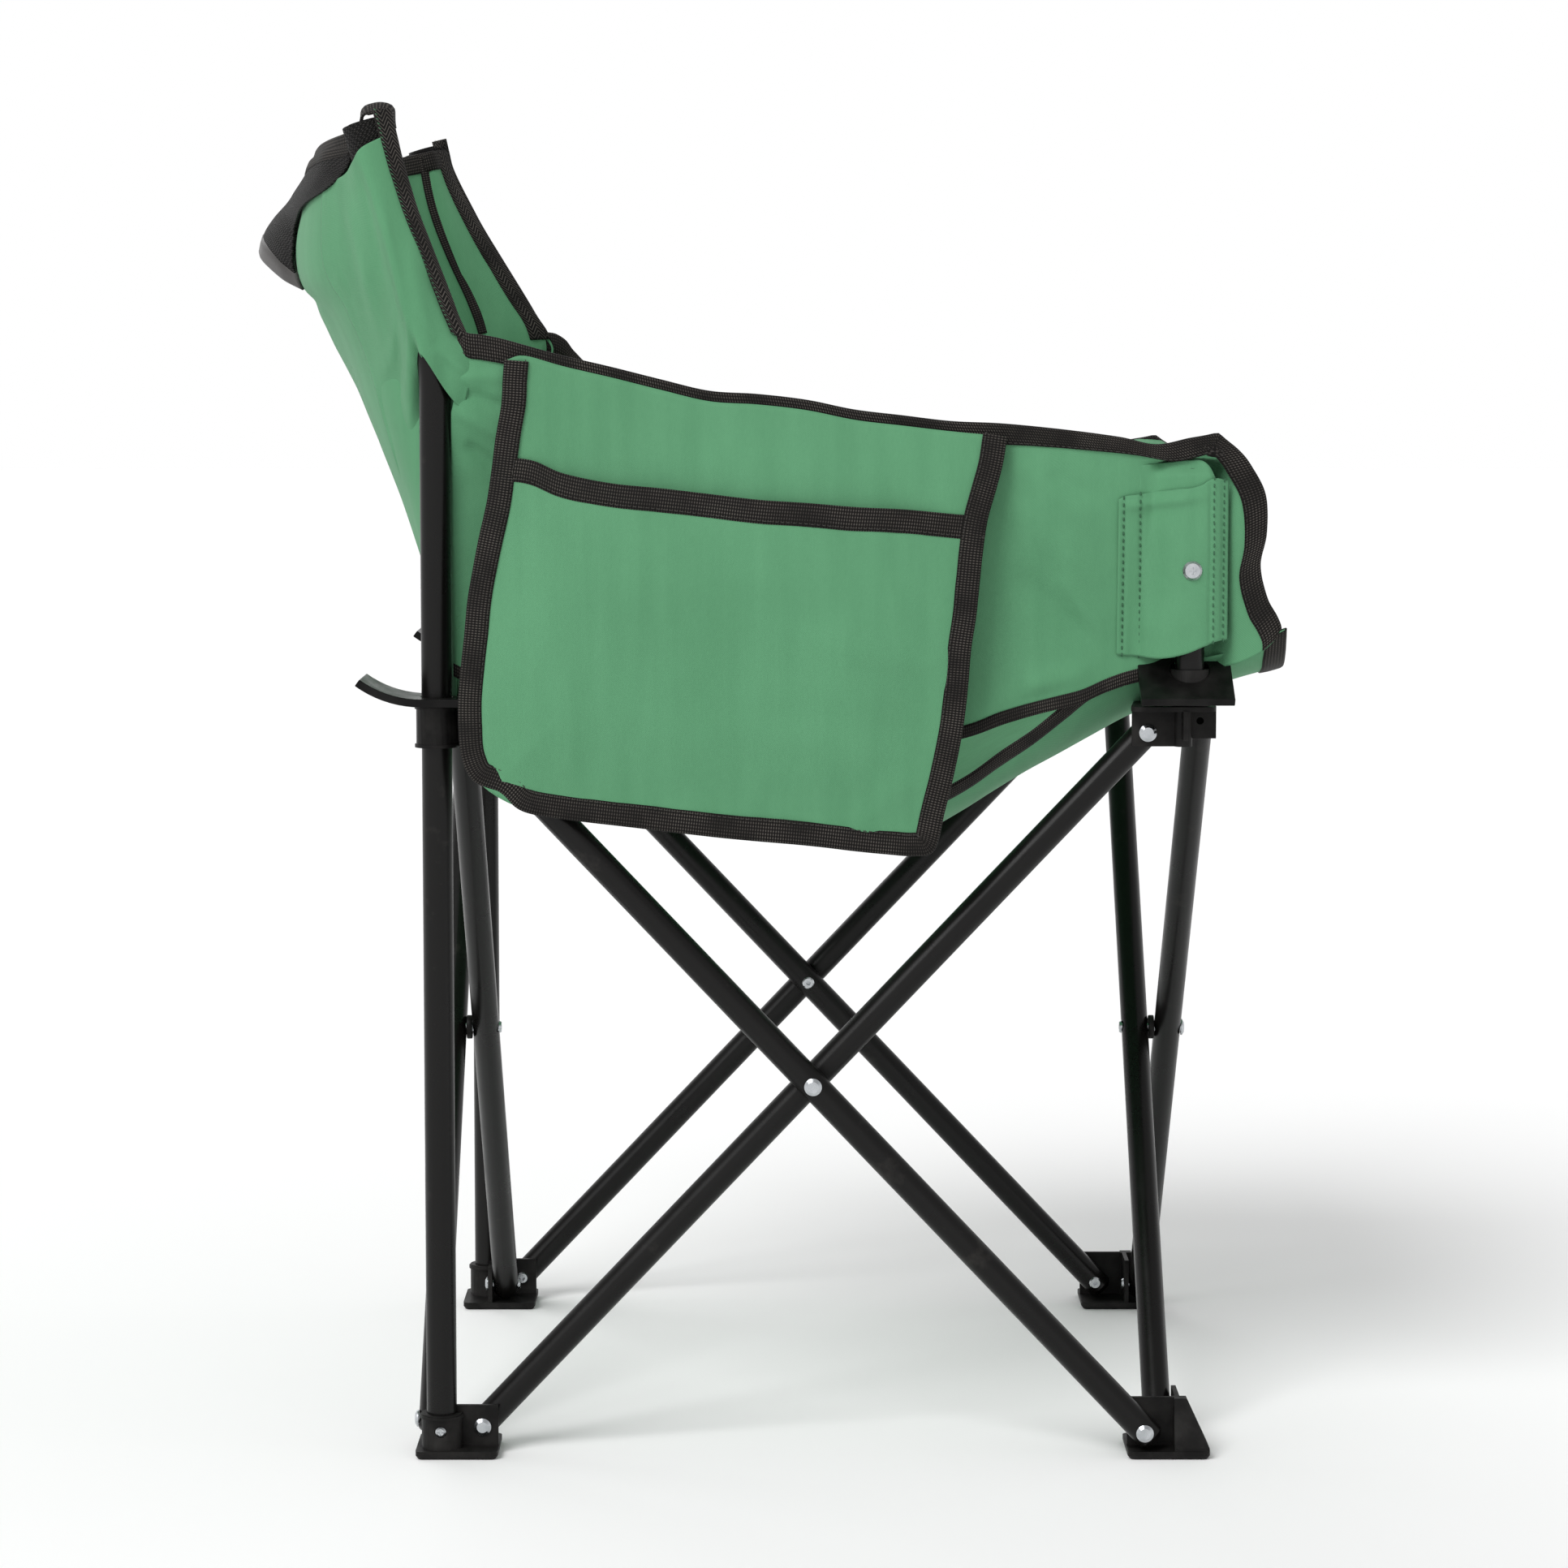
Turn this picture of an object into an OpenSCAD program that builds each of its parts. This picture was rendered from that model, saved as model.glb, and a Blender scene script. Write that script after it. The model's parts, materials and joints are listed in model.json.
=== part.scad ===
// Folding camp chair: four crossed-arm sides, sliding rear brackets and a fabric bucket seat.
// +X is the front of the chair, +Y its left-hand side, +Z up; the ground is at z = 0.
// Corner 0 is rear right, 1 front right, 2 front left and 3 rear left.
// Side k runs from corner k to the next corner: 0 right, 1 front, 2 left, 3 rear.

/* [Folding frame] */
// Half the distance between the two pivots along one side
pivot_half = 209; // [200:1:225]
// Distance from a pivot to the centre line of the post beside it
post_offset = 25.5; // [25.5:0.5:30]
// Height of the lower pivots above the ground
low_pivot = 17; // [17:0.5:20]
// Height of the upper pivots above the lower ones
pivot_rise = 441; // [430:1:450]
// Outer diameter of the crossed arms and of the arm posts
arm_d = 18; // [15:0.5:18]
// Outer diameter of the rear uprights
upright_d = 19; // [17:0.5:19]
// Wall thickness of every tube
tube_wall = 1.2; // [1:0.1:1.6]

/* [Uprights and arm posts] */
// Height at which the uprights start to lean back
bend_z = 671; // [665:1:680]
// Run of an upright's leaning part, for each 24 of its rise
lean_run = 7; // [5:0.5:7]
// Radius of that bend, on the centre line
bend_r = 130; // [100:5:160]
// Length of the leaning part above the bend
lean_len = 131; // [120:1:131]
// Height of the top end of the arm posts
post_top = 620; // [612:1:622]
// Height of the screw through the arm sleeve
arm_screw_z = 560; // [545:1:575]

/* [Plastic fittings] */
// Thickness of the lugs that carry the arms
lug_t = 3; // [2.4:0.1:3.2]
// Clearance between a lug and the arm beside it
lug_gap = 0.5; // [0.4:0.05:0.6]
// Height of the feet's boss
foot_h = 27; // [26:0.5:30]
// Thickness of the feet's base
foot_base = 5; // [4:0.5:5]
// Shank diameter of the rivets
rivet_d = 6; // [5:0.1:6]

/* [Fabric] */
// Thickness of the seat, side and back fabric as built
cloth_t = 3; // [2:0.5:3]
// Depth by which the seat sags between its sides
seat_sag = 44; // [30:1:50]
// Inside depth of each side pocket
pocket_depth = 11; // [8:1:12]

/* [Hidden] */
$fn = 48;
CORNERS = ["rear_right", "front_right", "front_left", "rear_left"];
SIDES = ["right", "front", "left", "rear"];

steel = "#2b2a29";
plastic = "#242424";
zinc = "#c9ccd0";
green = "#62a076";
black_web = "#2e2a27";

frame_x = 36;                                   // the frame's centre, forward of the origin
post_half = pivot_half + post_offset;           // posts to the frame's centre, along X and Y
high_pivot = low_pivot + pivot_rise;
lug_in = 3.5;                                   // lug mid-plane, inward of the post's centre
lug_reach = post_offset + 10;                   // lug's free edge from the post's centre
arm_shift = lug_t / 2 + lug_gap + arm_d / 2;    // arm centre line from the lug's mid-plane
arm_angle = atan2(pivot_rise, 2 * pivot_half);
arm_span = sqrt(pow(pivot_rise, 2) + pow(2 * pivot_half, 2));
arm_end = 9;                                    // tube beyond its end pivots
end_bevel = 3;
hole_d = rivet_d + 0.6;
head_d = 11;
head_h = 2.2;
tail_d = 8.5;
bracket_low = high_pivot - 8.5;
bracket_top = high_pivot + 17.5;
lug_top = high_pivot + 15;
bracket_r = 12.8;
rim_r = 13.8;
socket_r = arm_d / 2 + 3;
socket_top = high_pivot + 40;
screw_d = 4.5;
bend_angle = atan2(lean_run, 24);

// ---------- places ----------
// Puts a corner's parts in place: the post is at the origin, +X and +Y point inward.
module at_corner(k) {
    translate([frame_x, 0, 0]) rotate([0, 0, 90 * k]) translate([-post_half, -post_half, 0])
        children();
}

// Puts a side's parts in place: +X along the side, the origin on the lugs' mid-plane.
module at_side(k) {
    translate([frame_x, 0, 0]) rotate([0, 0, 90 * k]) translate([0, lug_in - post_half, 0])
        children();
}

// Mirrors a right-hand part for the left-hand side.
module on_side(s) {
    translate([frame_x, 0, 0]) mirror([0, s == "left" ? 1 : 0, 0]) children();
}

// ---------- tubes ----------
// A straight round tube standing on the origin.
module tube(d, len) {
    difference() {
        cylinder(d = d, h = len);
        translate([0, 0, -1]) cylinder(d = d - 2 * tube_wall, h = len + 2);
    }
}

// One crossed arm, centred, along +X, with closed ends and three cross holes along Y.
module arm_tube() {
    half = arm_span / 2 + arm_end;
    r = arm_d / 2;
    difference() {
        rotate([0, 90, 0]) rotate_extrude()
            polygon([[0, -half], [r - end_bevel, -half], [r, end_bevel - half],
                [r, half - end_bevel], [r - end_bevel, half], [0, half]]);
        rotate([0, 90, 0])
            cylinder(d = arm_d - 2 * tube_wall, h = 2 * half - 4 * end_bevel, center = true);
        for (x = [-1, 0, 1] * arm_span / 2)
            translate([x, 0, 0]) rotate([90, 0, 0])
                cylinder(d = hole_d, h = arm_d + 2, center = true);
    }
}

// The inner arm rises from the side's first corner, the outer arm from its last one.
module arm(k, outer) {
    turn = outer ? 180 + arm_angle : -arm_angle;
    color(steel) at_side(k)
        translate([0, outer ? -arm_shift : arm_shift, low_pivot + pivot_rise / 2])
            rotate([0, turn, 0]) arm_tube();
}

// ---------- fasteners ----------
// A rivet along +Y: its domed head lies just outside y = 0, its rolled tail past y = grip.
module rivet(grip) {
    play = 0.15;
    rotate([-90, 0, 0]) difference() {
        rotate_extrude()
            polygon([[0, -head_h - play], [head_d / 2 - 2, -head_h - play],
                [head_d / 2, -0.9 - play], [head_d / 2, -play], [rivet_d / 2, -play],
                [rivet_d / 2, grip + play], [tail_d / 2, grip + play],
                [tail_d / 2 - 0.8, grip + play + 1.4], [0, grip + play + 1.4]]);
        translate([0, 0, grip - 3]) cylinder(d = 3.4, h = 8);
    }
}

// The two rivets of a corner; the lug of the corner's own side holds the inner or outer arm.
module corner_rivets(k, z, own_inner) {
    stack = lug_t + lug_gap + arm_d;
    color(zinc) at_corner(k) {
        translate([post_offset, own_inner ? lug_in - lug_t / 2 : lug_in + lug_t / 2 - stack, z])
            rivet(stack);
        translate([own_inner ? lug_in + lug_t / 2 - stack : lug_in - lug_t / 2, post_offset, z])
            rotate([0, 0, -90]) rivet(stack);
    }
}

module cross_rivet(k) {
    reach = arm_shift + arm_d / 2;
    color(zinc) at_side(k) translate([0, -reach, low_pivot + pivot_rise / 2]) rivet(2 * reach);
}

module cross_spacer(k) {
    gap = 2 * arm_shift - arm_d;
    color(plastic) at_side(k) translate([0, 0, low_pivot + pivot_rise / 2]) rotate([90, 0, 0])
        difference() {
            cylinder(d = 16, h = gap - 0.3, center = true);
            cylinder(d = hole_d, h = gap + 1, center = true);
        }
}

// ---------- feet ----------
// A lug plate along +X on the corner's own side, with the arm's pivot hole.
module lug(low, top) {
    translate([lug_in, lug_in - lug_t / 2, low]) cube([lug_reach - lug_in, lug_t, top - low]);
}

module both_lugs(low, top) {
    lug(low, top);
    mirror([1, -1, 0]) lug(low, top);
}

module lug_holes(z) {
    for (turn = [0, 1])
        mirror([turn, -turn, 0]) translate([post_offset, lug_in, z]) rotate([90, 0, 0])
            cylinder(d = hole_d, h = lug_t + 2, center = true);
}

module foot_pad() {
    low = -11.5;
    high = lug_reach - 4;
    hull() {
        for (x = [low, high], y = [low, high])
            translate([x, y, 0]) {
                cylinder(r = 3, h = 1, $fn = 24);
                translate([0, 0, 2]) cylinder(r = 4.5, h = foot_base - 2, $fn = 24);
            }
    }
}

// The rear feet hold the uprights in a round boss.
module rear_foot(k) {
    bore = upright_d + 0.2;
    color(plastic) at_corner(k) difference() {
        union() {
            foot_pad();
            both_lugs(foot_base - 1, 31);
            cylinder(r = bracket_r, h = foot_h);
            translate([0, 0, foot_h - 3]) cylinder(r = rim_r, h = 2);
        }
        translate([0, 0, foot_base]) cylinder(d = bore, h = foot_h);
        lug_holes(low_pivot);
        // The upright's screw goes in from the chair's side, which is -X at the left-hand corner.
        rotate([0, 0, k == 0 ? 0 : -90]) {
            translate([0, -6, low_pivot]) rotate([90, 0, 0])
                cylinder(d = screw_d + 0.6, h = 12);
            translate([0, 1.6 - bracket_r, low_pivot]) rotate([90, 0, 0])
                cylinder(d = 7.4, h = 6);
        }
    }
}

// The front feet hold no post: a sloping block stiffens the corner of their two lugs.
module front_foot(k) {
    color(plastic) at_corner(k) difference() {
        union() {
            foot_pad();
            both_lugs(foot_base - 1, 36);
            hull() {
                translate([-15.5, -15.5, foot_base - 1]) cube([22, 22, 3]);
                translate([-2, -2, 33]) cube([8, 8, 3]);
            }
        }
        lug_holes(low_pivot);
    }
}

// ---------- brackets ----------
// The rear brackets slide on the uprights.
module rear_bracket(k) {
    color(plastic) at_corner(k) difference() {
        union() {
            translate([0, 0, bracket_low]) cylinder(r = bracket_r, h = bracket_top - bracket_low);
            for (z = [bracket_low, bracket_top - 2])
                translate([0, 0, z]) cylinder(r = rim_r, h = 2);
            both_lugs(bracket_low, lug_top);
        }
        translate([0, 0, bracket_low - 1])
            cylinder(d = upright_d + 0.8, h = bracket_top - bracket_low + 2);
        lug_holes(high_pivot);
    }
}

// The front brackets carry the arm posts in a socket on top of a flange.
module front_bracket(k) {
    spare_x = -7;
    color(plastic) at_corner(k) difference() {
        union() {
            both_lugs(bracket_low, lug_top);
            translate([lug_in, lug_in, bracket_low])
                cylinder(r = 5.8, h = lug_top - bracket_low);
            for (turn = [0, 1])
                mirror([turn, -turn, 0])
                    translate([-17, lug_in - lug_t / 2, high_pivot - 3.5])
                        cube([17 + lug_in, lug_t, lug_top - high_pivot + 3.5]);
            hull() {
                for (p = [[-9, -9], [-9, 30], [30, -9], [26, 26]])
                    translate([p.x, p.y, lug_top - 0.5]) cylinder(r = 7, h = 3, $fn = 24);
            }
            translate([0, 0, lug_top]) cylinder(r = socket_r, h = socket_top - lug_top);
        }
        translate([0, 0, bracket_top]) cylinder(d = arm_d + 0.2, h = 40);
        lug_holes(high_pivot);
        for (turn = [0, 1])
            mirror([turn, -turn, 0])
                translate([spare_x, lug_in, high_pivot + 7.5]) rotate([90, 0, 0])
                    cylinder(d = 4.6, h = lug_t + 2, center = true);
    }
}

// ---------- posts ----------
upright_low = foot_base + 0.3;

// Puts children at the centre of the uprights' bend, with the bend in the XY plane.
module at_bend() {
    translate([-post_half - bend_r, -post_half, bend_z]) rotate([90, 0, 0]) children();
}

// Puts children at the foot of the uprights' leaning part, standing along it.
module at_lean() {
    at_bend() rotate([0, 0, bend_angle]) translate([bend_r, 0, 0]) rotate([-90, 0, 0]) children();
}

module bent_rod(d) {
    translate([-post_half, -post_half, upright_low]) cylinder(d = d, h = bend_z - upright_low);
    at_bend() intersection() {
        rotate_extrude(angle = 45) translate([bend_r, 0]) circle(d = d);
        rotate([0, 0, bend_angle]) translate([0, -bend_r, -d])
            cube([bend_r + d, bend_r, 2 * d]);
    }
    at_lean() cylinder(d = d, h = lean_len);
}

module upright(s) {
    color(steel) on_side(s) difference() {
        bent_rod(upright_d);
        bent_rod(upright_d - 2 * tube_wall);
        translate([-post_half, -post_half, low_pivot]) rotate([90, 0, 0])
            cylinder(d = screw_d + 0.4, h = 20);
    }
}

// A plug with a flat head, standing on the end of a tube of diameter d.
module tube_cap(d) {
    cylinder(d = d, h = 3);
    translate([0, 0, -12]) cylinder(d = d - 2 * tube_wall - 0.3, h = 12.5);
}

module upright_cap(s) {
    color(plastic) on_side(s) at_lean() translate([0, 0, lean_len + 0.1]) tube_cap(upright_d);
}

// A screw along +Y from a pan head just outside y = 0.
module screw(head, len) {
    rotate([-90, 0, 0]) difference() {
        rotate_extrude()
            polygon([[0, -2.4], [head / 2 - 1.4, -2.4], [head / 2, -0.8], [head / 2, 0],
                [screw_d / 2, 0], [screw_d / 2, len], [0, len]]);
        for (turn = [0, 90])
            rotate([0, 0, turn]) translate([0, 0, -2]) cube([4.4, 1.1, 2], center = true);
    }
}

module upright_screw(s) {
    color(zinc) on_side(s) translate([-post_half, 1.5 - bracket_r - post_half, low_pivot])
        screw(7, 13);
}

module arm_post(s) {
    color(steel) on_side(s) translate([post_half, -post_half, bracket_top + 0.2]) difference() {
        tube(arm_d, post_top - bracket_top - 0.2);
        translate([0, 0, arm_screw_z - bracket_top - 0.2]) rotate([90, 0, 0])
            cylinder(d = screw_d + 0.4, h = 20);
    }
}

module arm_post_cap(s) {
    color(plastic) on_side(s) translate([post_half, -post_half, post_top + 0.1]) tube_cap(arm_d);
}

module arm_screw(s) {
    color(zinc) on_side(s) translate([post_half, -post_half - sleeve_r - 0.4, arm_screw_z])
        screw(12, 16);
}

// ---------- flexible corner plates of the seat ----------
plate_t = 5;
plate_z = bracket_top + 0.3;
// The rear plates curl up behind the uprights.
horn_r = 70;
horn_turn = 36;
module rear_plate(s) {
    under = [for (a = [0:4:horn_turn]) [-8 - horn_r * sin(a), horn_r * (1 - cos(a))]];
    inner_r = horn_r - plate_t;
    upper = [for (a = [horn_turn:-4:0]) [-8 - inner_r * sin(a), horn_r - inner_r * cos(a)]];
    color(plastic) on_side(s) translate([-post_half, -post_half, plate_z]) difference() {
        translate([0, 30, 0]) rotate([90, 0, 0]) linear_extrude(52)
            polygon(concat([[25, 0]], under, upper, [[25, plate_t]]));
        translate([0, 0, -1]) cylinder(d = upright_d + 1, h = 60);
    }
}

// The front plates slope down and outward round the arm posts.
plate_tilt = 30;
module front_plate(s) {
    color(plastic) on_side(s) translate([post_half, -post_half, 0]) difference() {
        translate([-3, 0, socket_top - 6]) rotate([plate_tilt, 0, 0])
            translate([-29, -30, 0]) cube([58, 52, plate_t]);
        translate([0, 0, bracket_top]) cylinder(r = socket_r + 0.4, h = 80);
    }
}

// ---------- fabric, as plain closed solids ----------
sleeve_r = arm_d / 2 + 4;
sleeve_low = 507;
seat_rear = -197;
seat_front = 301;
seat_rim = 226;
side_y = 229;

// A closed sheet of thickness t: f(u, v) gives a point of one face for u and v from 0 to 1,
// and g(u, v) the matching point of the other face.
module sheet_solid(f, g, nu, nv) {
    row = nv + 1;
    count = (nu + 1) * row;
    pts = concat([for (i = [0:nu], j = [0:nv]) f(i / nu, j / nv)],
        [for (i = [0:nu], j = [0:nv]) g(i / nu, j / nv)]);
    function at(i, j, side) = i * row + j + side * count;
    near = [for (i = [0:nu - 1], j = [0:nv - 1]) each [
        [at(i, j, 0), at(i, j + 1, 0), at(i + 1, j + 1, 0)],
        [at(i, j, 0), at(i + 1, j + 1, 0), at(i + 1, j, 0)]]];
    far = [for (i = [0:nu - 1], j = [0:nv - 1]) each [
        [at(i, j, 1), at(i + 1, j + 1, 1), at(i, j + 1, 1)],
        [at(i, j, 1), at(i + 1, j, 1), at(i + 1, j + 1, 1)]]];
    ends = [for (i = [0:nu - 1]) each [
        [at(i, 0, 0), at(i + 1, 0, 0), at(i + 1, 0, 1)],
        [at(i, 0, 0), at(i + 1, 0, 1), at(i, 0, 1)],
        [at(i, nv, 0), at(i + 1, nv, 1), at(i + 1, nv, 0)],
        [at(i, nv, 0), at(i, nv, 1), at(i + 1, nv, 1)]]];
    flanks = [for (j = [0:nv - 1]) each [
        [at(0, j, 0), at(0, j + 1, 1), at(0, j + 1, 0)],
        [at(0, j, 0), at(0, j, 1), at(0, j + 1, 1)],
        [at(nu, j, 0), at(nu, j + 1, 0), at(nu, j + 1, 1)],
        [at(nu, j, 0), at(nu, j + 1, 1), at(nu, j, 1)]]];
    polyhedron(pts, concat(near, far, ends, flanks), convexity = 6);
}

function mix(a, b, t) = a + (b - a) * t;

// Height of the seat's side edge at x: a long dip, then a gentle rise to the front hem.
dip_front = 205;
function rim_z(x) = let (t = (x - seat_rear) / (dip_front - seat_rear))
    x < dip_front ? 482 + 10 * t - 80 * pow(sin(180 * pow(t, 1.25)), 1.25)
    : 492 + 0.18 * (x - dip_front);

// Height of the seat at x and y: it hangs below its edge, most of all at half its length.
function seat_z(x, y) = let (t = (x - seat_rear) / (seat_front - seat_rear))
    rim_z(x) - mix(28, seat_sag, sin(180 * min(t, 0.9))) * (1 - pow(abs(y) / seat_rim, 2));

module seat(s) {
    top = function (u, v)
        let (x = mix(seat_rear, seat_front, u), y = mix(-seat_rim, -0.4, v)) [x, y, seat_z(x, y)];
    under = function (u, v) top(u, v) - [0, 0, cloth_t];
    color(green) on_side(s) difference() {
        sheet_solid(under, top, 18, 8);
        for (x = [-1, 1])
            translate([x * post_half, -post_half, 400]) cylinder(r = 34, h = 200);
    }
}

// The back is a trough round the sitter, inside the uprights, hanging back at its middle.
function back_edge_x(z) = -203 - 62 * pow(max(z - 699, 0) / 146, 0.6);
function back_middle_x(z) = z < 735 ? -224 - 0.437 * (z - 476) : -337 + 0.15 * (z - 735);
function back_pt(s, z, in) = let (
    half = post_half - 11.5 - in,
    x = mix(back_middle_x(z), back_edge_x(z), pow(abs(s), 2.4)))
    [x + in, s * half, z];

module back_panel() {
    height = function (u, v) mix(mix(478, 486, abs(2 * u - 1)),
        mix(826, 834, pow(abs(2 * u - 1), 2)), v);
    outside = function (u, v) back_pt(2 * u - 1, height(u, v), 0);
    inside = function (u, v) back_pt(2 * u - 1, height(u, v), cloth_t);
    color(green) translate([frame_x, 0, 0]) sheet_solid(outside, inside, 20, 12);
}

// The outline of a side, from the armrest's top edge down to its lower binding.
side_outline = [[-196, 696], [-120, 681], [-40, 667], [50, 652], [150, 639], [219, 635],
    [219, 512], [165, 486], [94, 458], [0, 448], [-110, 452], [-196, 478]];
module side_panel(s) {
    color(green) on_side(s) translate([0, -side_y, 0]) rotate([90, 0, 0])
        linear_extrude(cloth_t) polygon(side_outline);
}

// Each pocket hangs outside the arms, open at the top of its outer wall.
pocket_wall = 2;
pocket_y = 257;
pocket_outline = [[-178, 664], [-186, 610], [-203, 540], [-209, 470], [-206, 440], [-185, 420],
    [-120, 411], [0, 398], [60, 391], [78, 398], [90, 450], [97, 512], [106, 600], [112, 634]];
pocket_middle = [-50, 530];
module side_pocket(s) {
    depth = pocket_depth + 2 * pocket_wall;
    cavity = [for (p = pocket_outline) pocket_middle + (p - pocket_middle) * 0.965];
    color(green) on_side(s) translate([0, -pocket_y, 0]) rotate([90, 0, 0]) difference() {
        linear_extrude(depth) polygon(pocket_outline);
        translate([0, 0, pocket_wall]) linear_extrude(pocket_depth) polygon(cavity);
        translate([0, 0, pocket_wall]) linear_extrude(depth)
            polygon([[-230, 628], [-151, 615], [-26, 597], [140, 584], [140, 720], [-230, 720]]);
    }
}

// The arm sleeve slips over the arm post; its free flap is the front end of the side.
module arm_sleeve(s) {
    color(green) on_side(s) translate([post_half, -post_half, 0]) {
        difference() {
            translate([0, 0, sleeve_low]) cylinder(r = sleeve_r, h = 633 - sleeve_low);
            translate([0, 0, sleeve_low - 1]) cylinder(d = arm_d + 1, h = 625 - sleeve_low + 1);
            translate([0, 0, arm_screw_z]) rotate([90, 0, 0])
                cylinder(d = screw_d + 1, h = 20);
        }
        translate([sleeve_r - 0.8, cloth_t / 2, 0]) rotate([90, 0, 0]) linear_extrude(cloth_t)
            polygon([[0, 633], [22, 636], [36, 622], [46, 600], [46, 575], [42, 560],
                [52, 524], [52, 519], [0, 514]]);
    }
}

// The mesh pouch is open towards the back panel and along its top.
pouch_half = 92;
module mesh_pouch() {
    wall = 2.5;
    outer = [[-330, 812], [-352, 798], [-366, 780], [-371, 762], [-343, 734]];
    color(black_web) translate([frame_x, 0, 0]) {
        translate([0, pouch_half, 0]) rotate([90, 0, 0]) linear_extrude(2 * pouch_half)
            polygon(concat(outer, [for (i = [4:-1:0]) outer[i] + [wall, i == 4 ? wall : 0]]));
        for (y = [-pouch_half, pouch_half - wall])
            translate([0, y + wall, 0]) rotate([90, 0, 0]) linear_extrude(wall)
                polygon(concat(outer, [[-340, 742], [-341, 790]]));
    }
}

// A webbing loop at the top of the right-hand edge.
module hang_loop() {
    color(black_web) translate([frame_x, 0, 0])
        translate([-269, 26 - post_half, 834.3]) rotate([90, 0, 0]) linear_extrude(16)
            difference() {
                polygon([[-11, 0], [-11, 10], [-8, 14], [8, 14], [11, 10], [11, 0]]);
                translate([-8.5, -1]) square([17, 12]);
            }
}

// ---------- drawing ----------
for (k = [0:3]) {
    c = CORNERS[k];
    s = SIDES[k];
    rear = k == 0 || k == 3;
    union() {
        if (rear) rear_foot(k);
        else front_foot(k);
    }
    union() {
        if (rear) rear_bracket(k);
        else front_bracket(k);
    }
    arm(k, false);
    arm(k, true);
    cross_rivet(k);
    cross_spacer(k);
    corner_rivets(k, low_pivot, true);
    corner_rivets(k, high_pivot, false);
}
for (s = ["right", "left"]) {
    rear_plate(s);
    front_plate(s);
    upright(s);
    upright_cap(s);
    upright_screw(s);
    arm_post(s);
    arm_post_cap(s);
    arm_screw(s);
    arm_sleeve(s);
    side_panel(s);
    side_pocket(s);
    seat(s);
}
back_panel();
mesh_pouch();
hang_loop();
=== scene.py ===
"""Folding camp chair: fabric, webbing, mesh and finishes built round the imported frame.

Outlines are in millimetres from the chair's centre on the ground: x to the front, z up, and
y away from the middle, so that the two sides share them. side is -1 for the sitter's right
and +1 for the left. in_frame() turns them into metres in the row frame.
"""
import json
import math

import bpy
import numpy as np
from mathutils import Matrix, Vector, noise


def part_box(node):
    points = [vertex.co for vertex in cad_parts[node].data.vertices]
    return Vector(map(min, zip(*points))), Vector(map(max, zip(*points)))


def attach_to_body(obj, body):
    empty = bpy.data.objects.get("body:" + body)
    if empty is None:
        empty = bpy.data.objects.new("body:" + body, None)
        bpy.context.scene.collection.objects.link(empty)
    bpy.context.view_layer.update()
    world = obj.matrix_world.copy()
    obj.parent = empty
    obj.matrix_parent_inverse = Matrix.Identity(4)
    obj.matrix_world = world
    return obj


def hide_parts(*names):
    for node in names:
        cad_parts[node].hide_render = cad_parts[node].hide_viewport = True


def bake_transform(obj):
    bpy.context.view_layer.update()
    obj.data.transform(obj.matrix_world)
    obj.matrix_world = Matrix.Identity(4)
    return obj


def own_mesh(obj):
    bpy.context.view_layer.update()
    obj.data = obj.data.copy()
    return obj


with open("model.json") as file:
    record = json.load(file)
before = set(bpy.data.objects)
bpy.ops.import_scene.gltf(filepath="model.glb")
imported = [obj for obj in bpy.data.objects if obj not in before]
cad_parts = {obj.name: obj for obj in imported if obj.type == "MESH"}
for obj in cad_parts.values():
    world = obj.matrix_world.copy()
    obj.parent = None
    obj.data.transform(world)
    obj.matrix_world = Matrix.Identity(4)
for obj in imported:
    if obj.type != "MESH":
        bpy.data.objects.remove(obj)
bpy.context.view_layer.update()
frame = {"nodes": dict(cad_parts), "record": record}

# ---- sizes and places ----
FOOT_REAR, FOOT_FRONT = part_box("foot_rear_right"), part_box("foot_front_right")
CENTRE_X = (FOOT_REAR[0].x + FOOT_FRONT[1].x) / 2
POST_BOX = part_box("arm_post_right")
# The arm posts stand this far in front of the centre, and the rear uprights as far behind it.
POST = 1000 * ((POST_BOX[0].x + POST_BOX[1].x) / 2 - CENTRE_X)
# Where an upright's bend starts, its radius, and how far it turns before the straight lean.
BEND_Z, BEND_R, BEND_TURN = 671, 130, math.atan2(7, 24)
# Thickness of cloth and of tape, and the radius of a stitch's thread.
CLOTH = 0.9
TAPE = 0.9
STITCH = 0.33
SIDES = {"right": -1, "left": 1}


def in_frame(points):
    """Millimetres from the chair's centre, as metres in the row frame."""
    return np.asarray(points, float) / 1000 + (CENTRE_X, 0, 0)


def ease(t):
    """A smooth step from 0 to 1."""
    t = np.clip(t, 0, 1)
    return t * t * (3 - 2 * t)


def mix(a, b, t):
    return a + (b - a) * t


def bell(distance, width):
    return np.exp(-((distance / width) ** 2))


# ---- curves and surfaces ----
# Octaves of a cloth's unevenness, and the rows over which it fades in from the borders.
OCTAVES, CALM_ROWS = 3, 9
# A fold fades in over a quarter of its length, and out over the last two fifths.
FADE_IN, FADE_OUT = 4, 2.5
# Distance over which the directions along an edge are smoothed.
CORNER = 7


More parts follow.
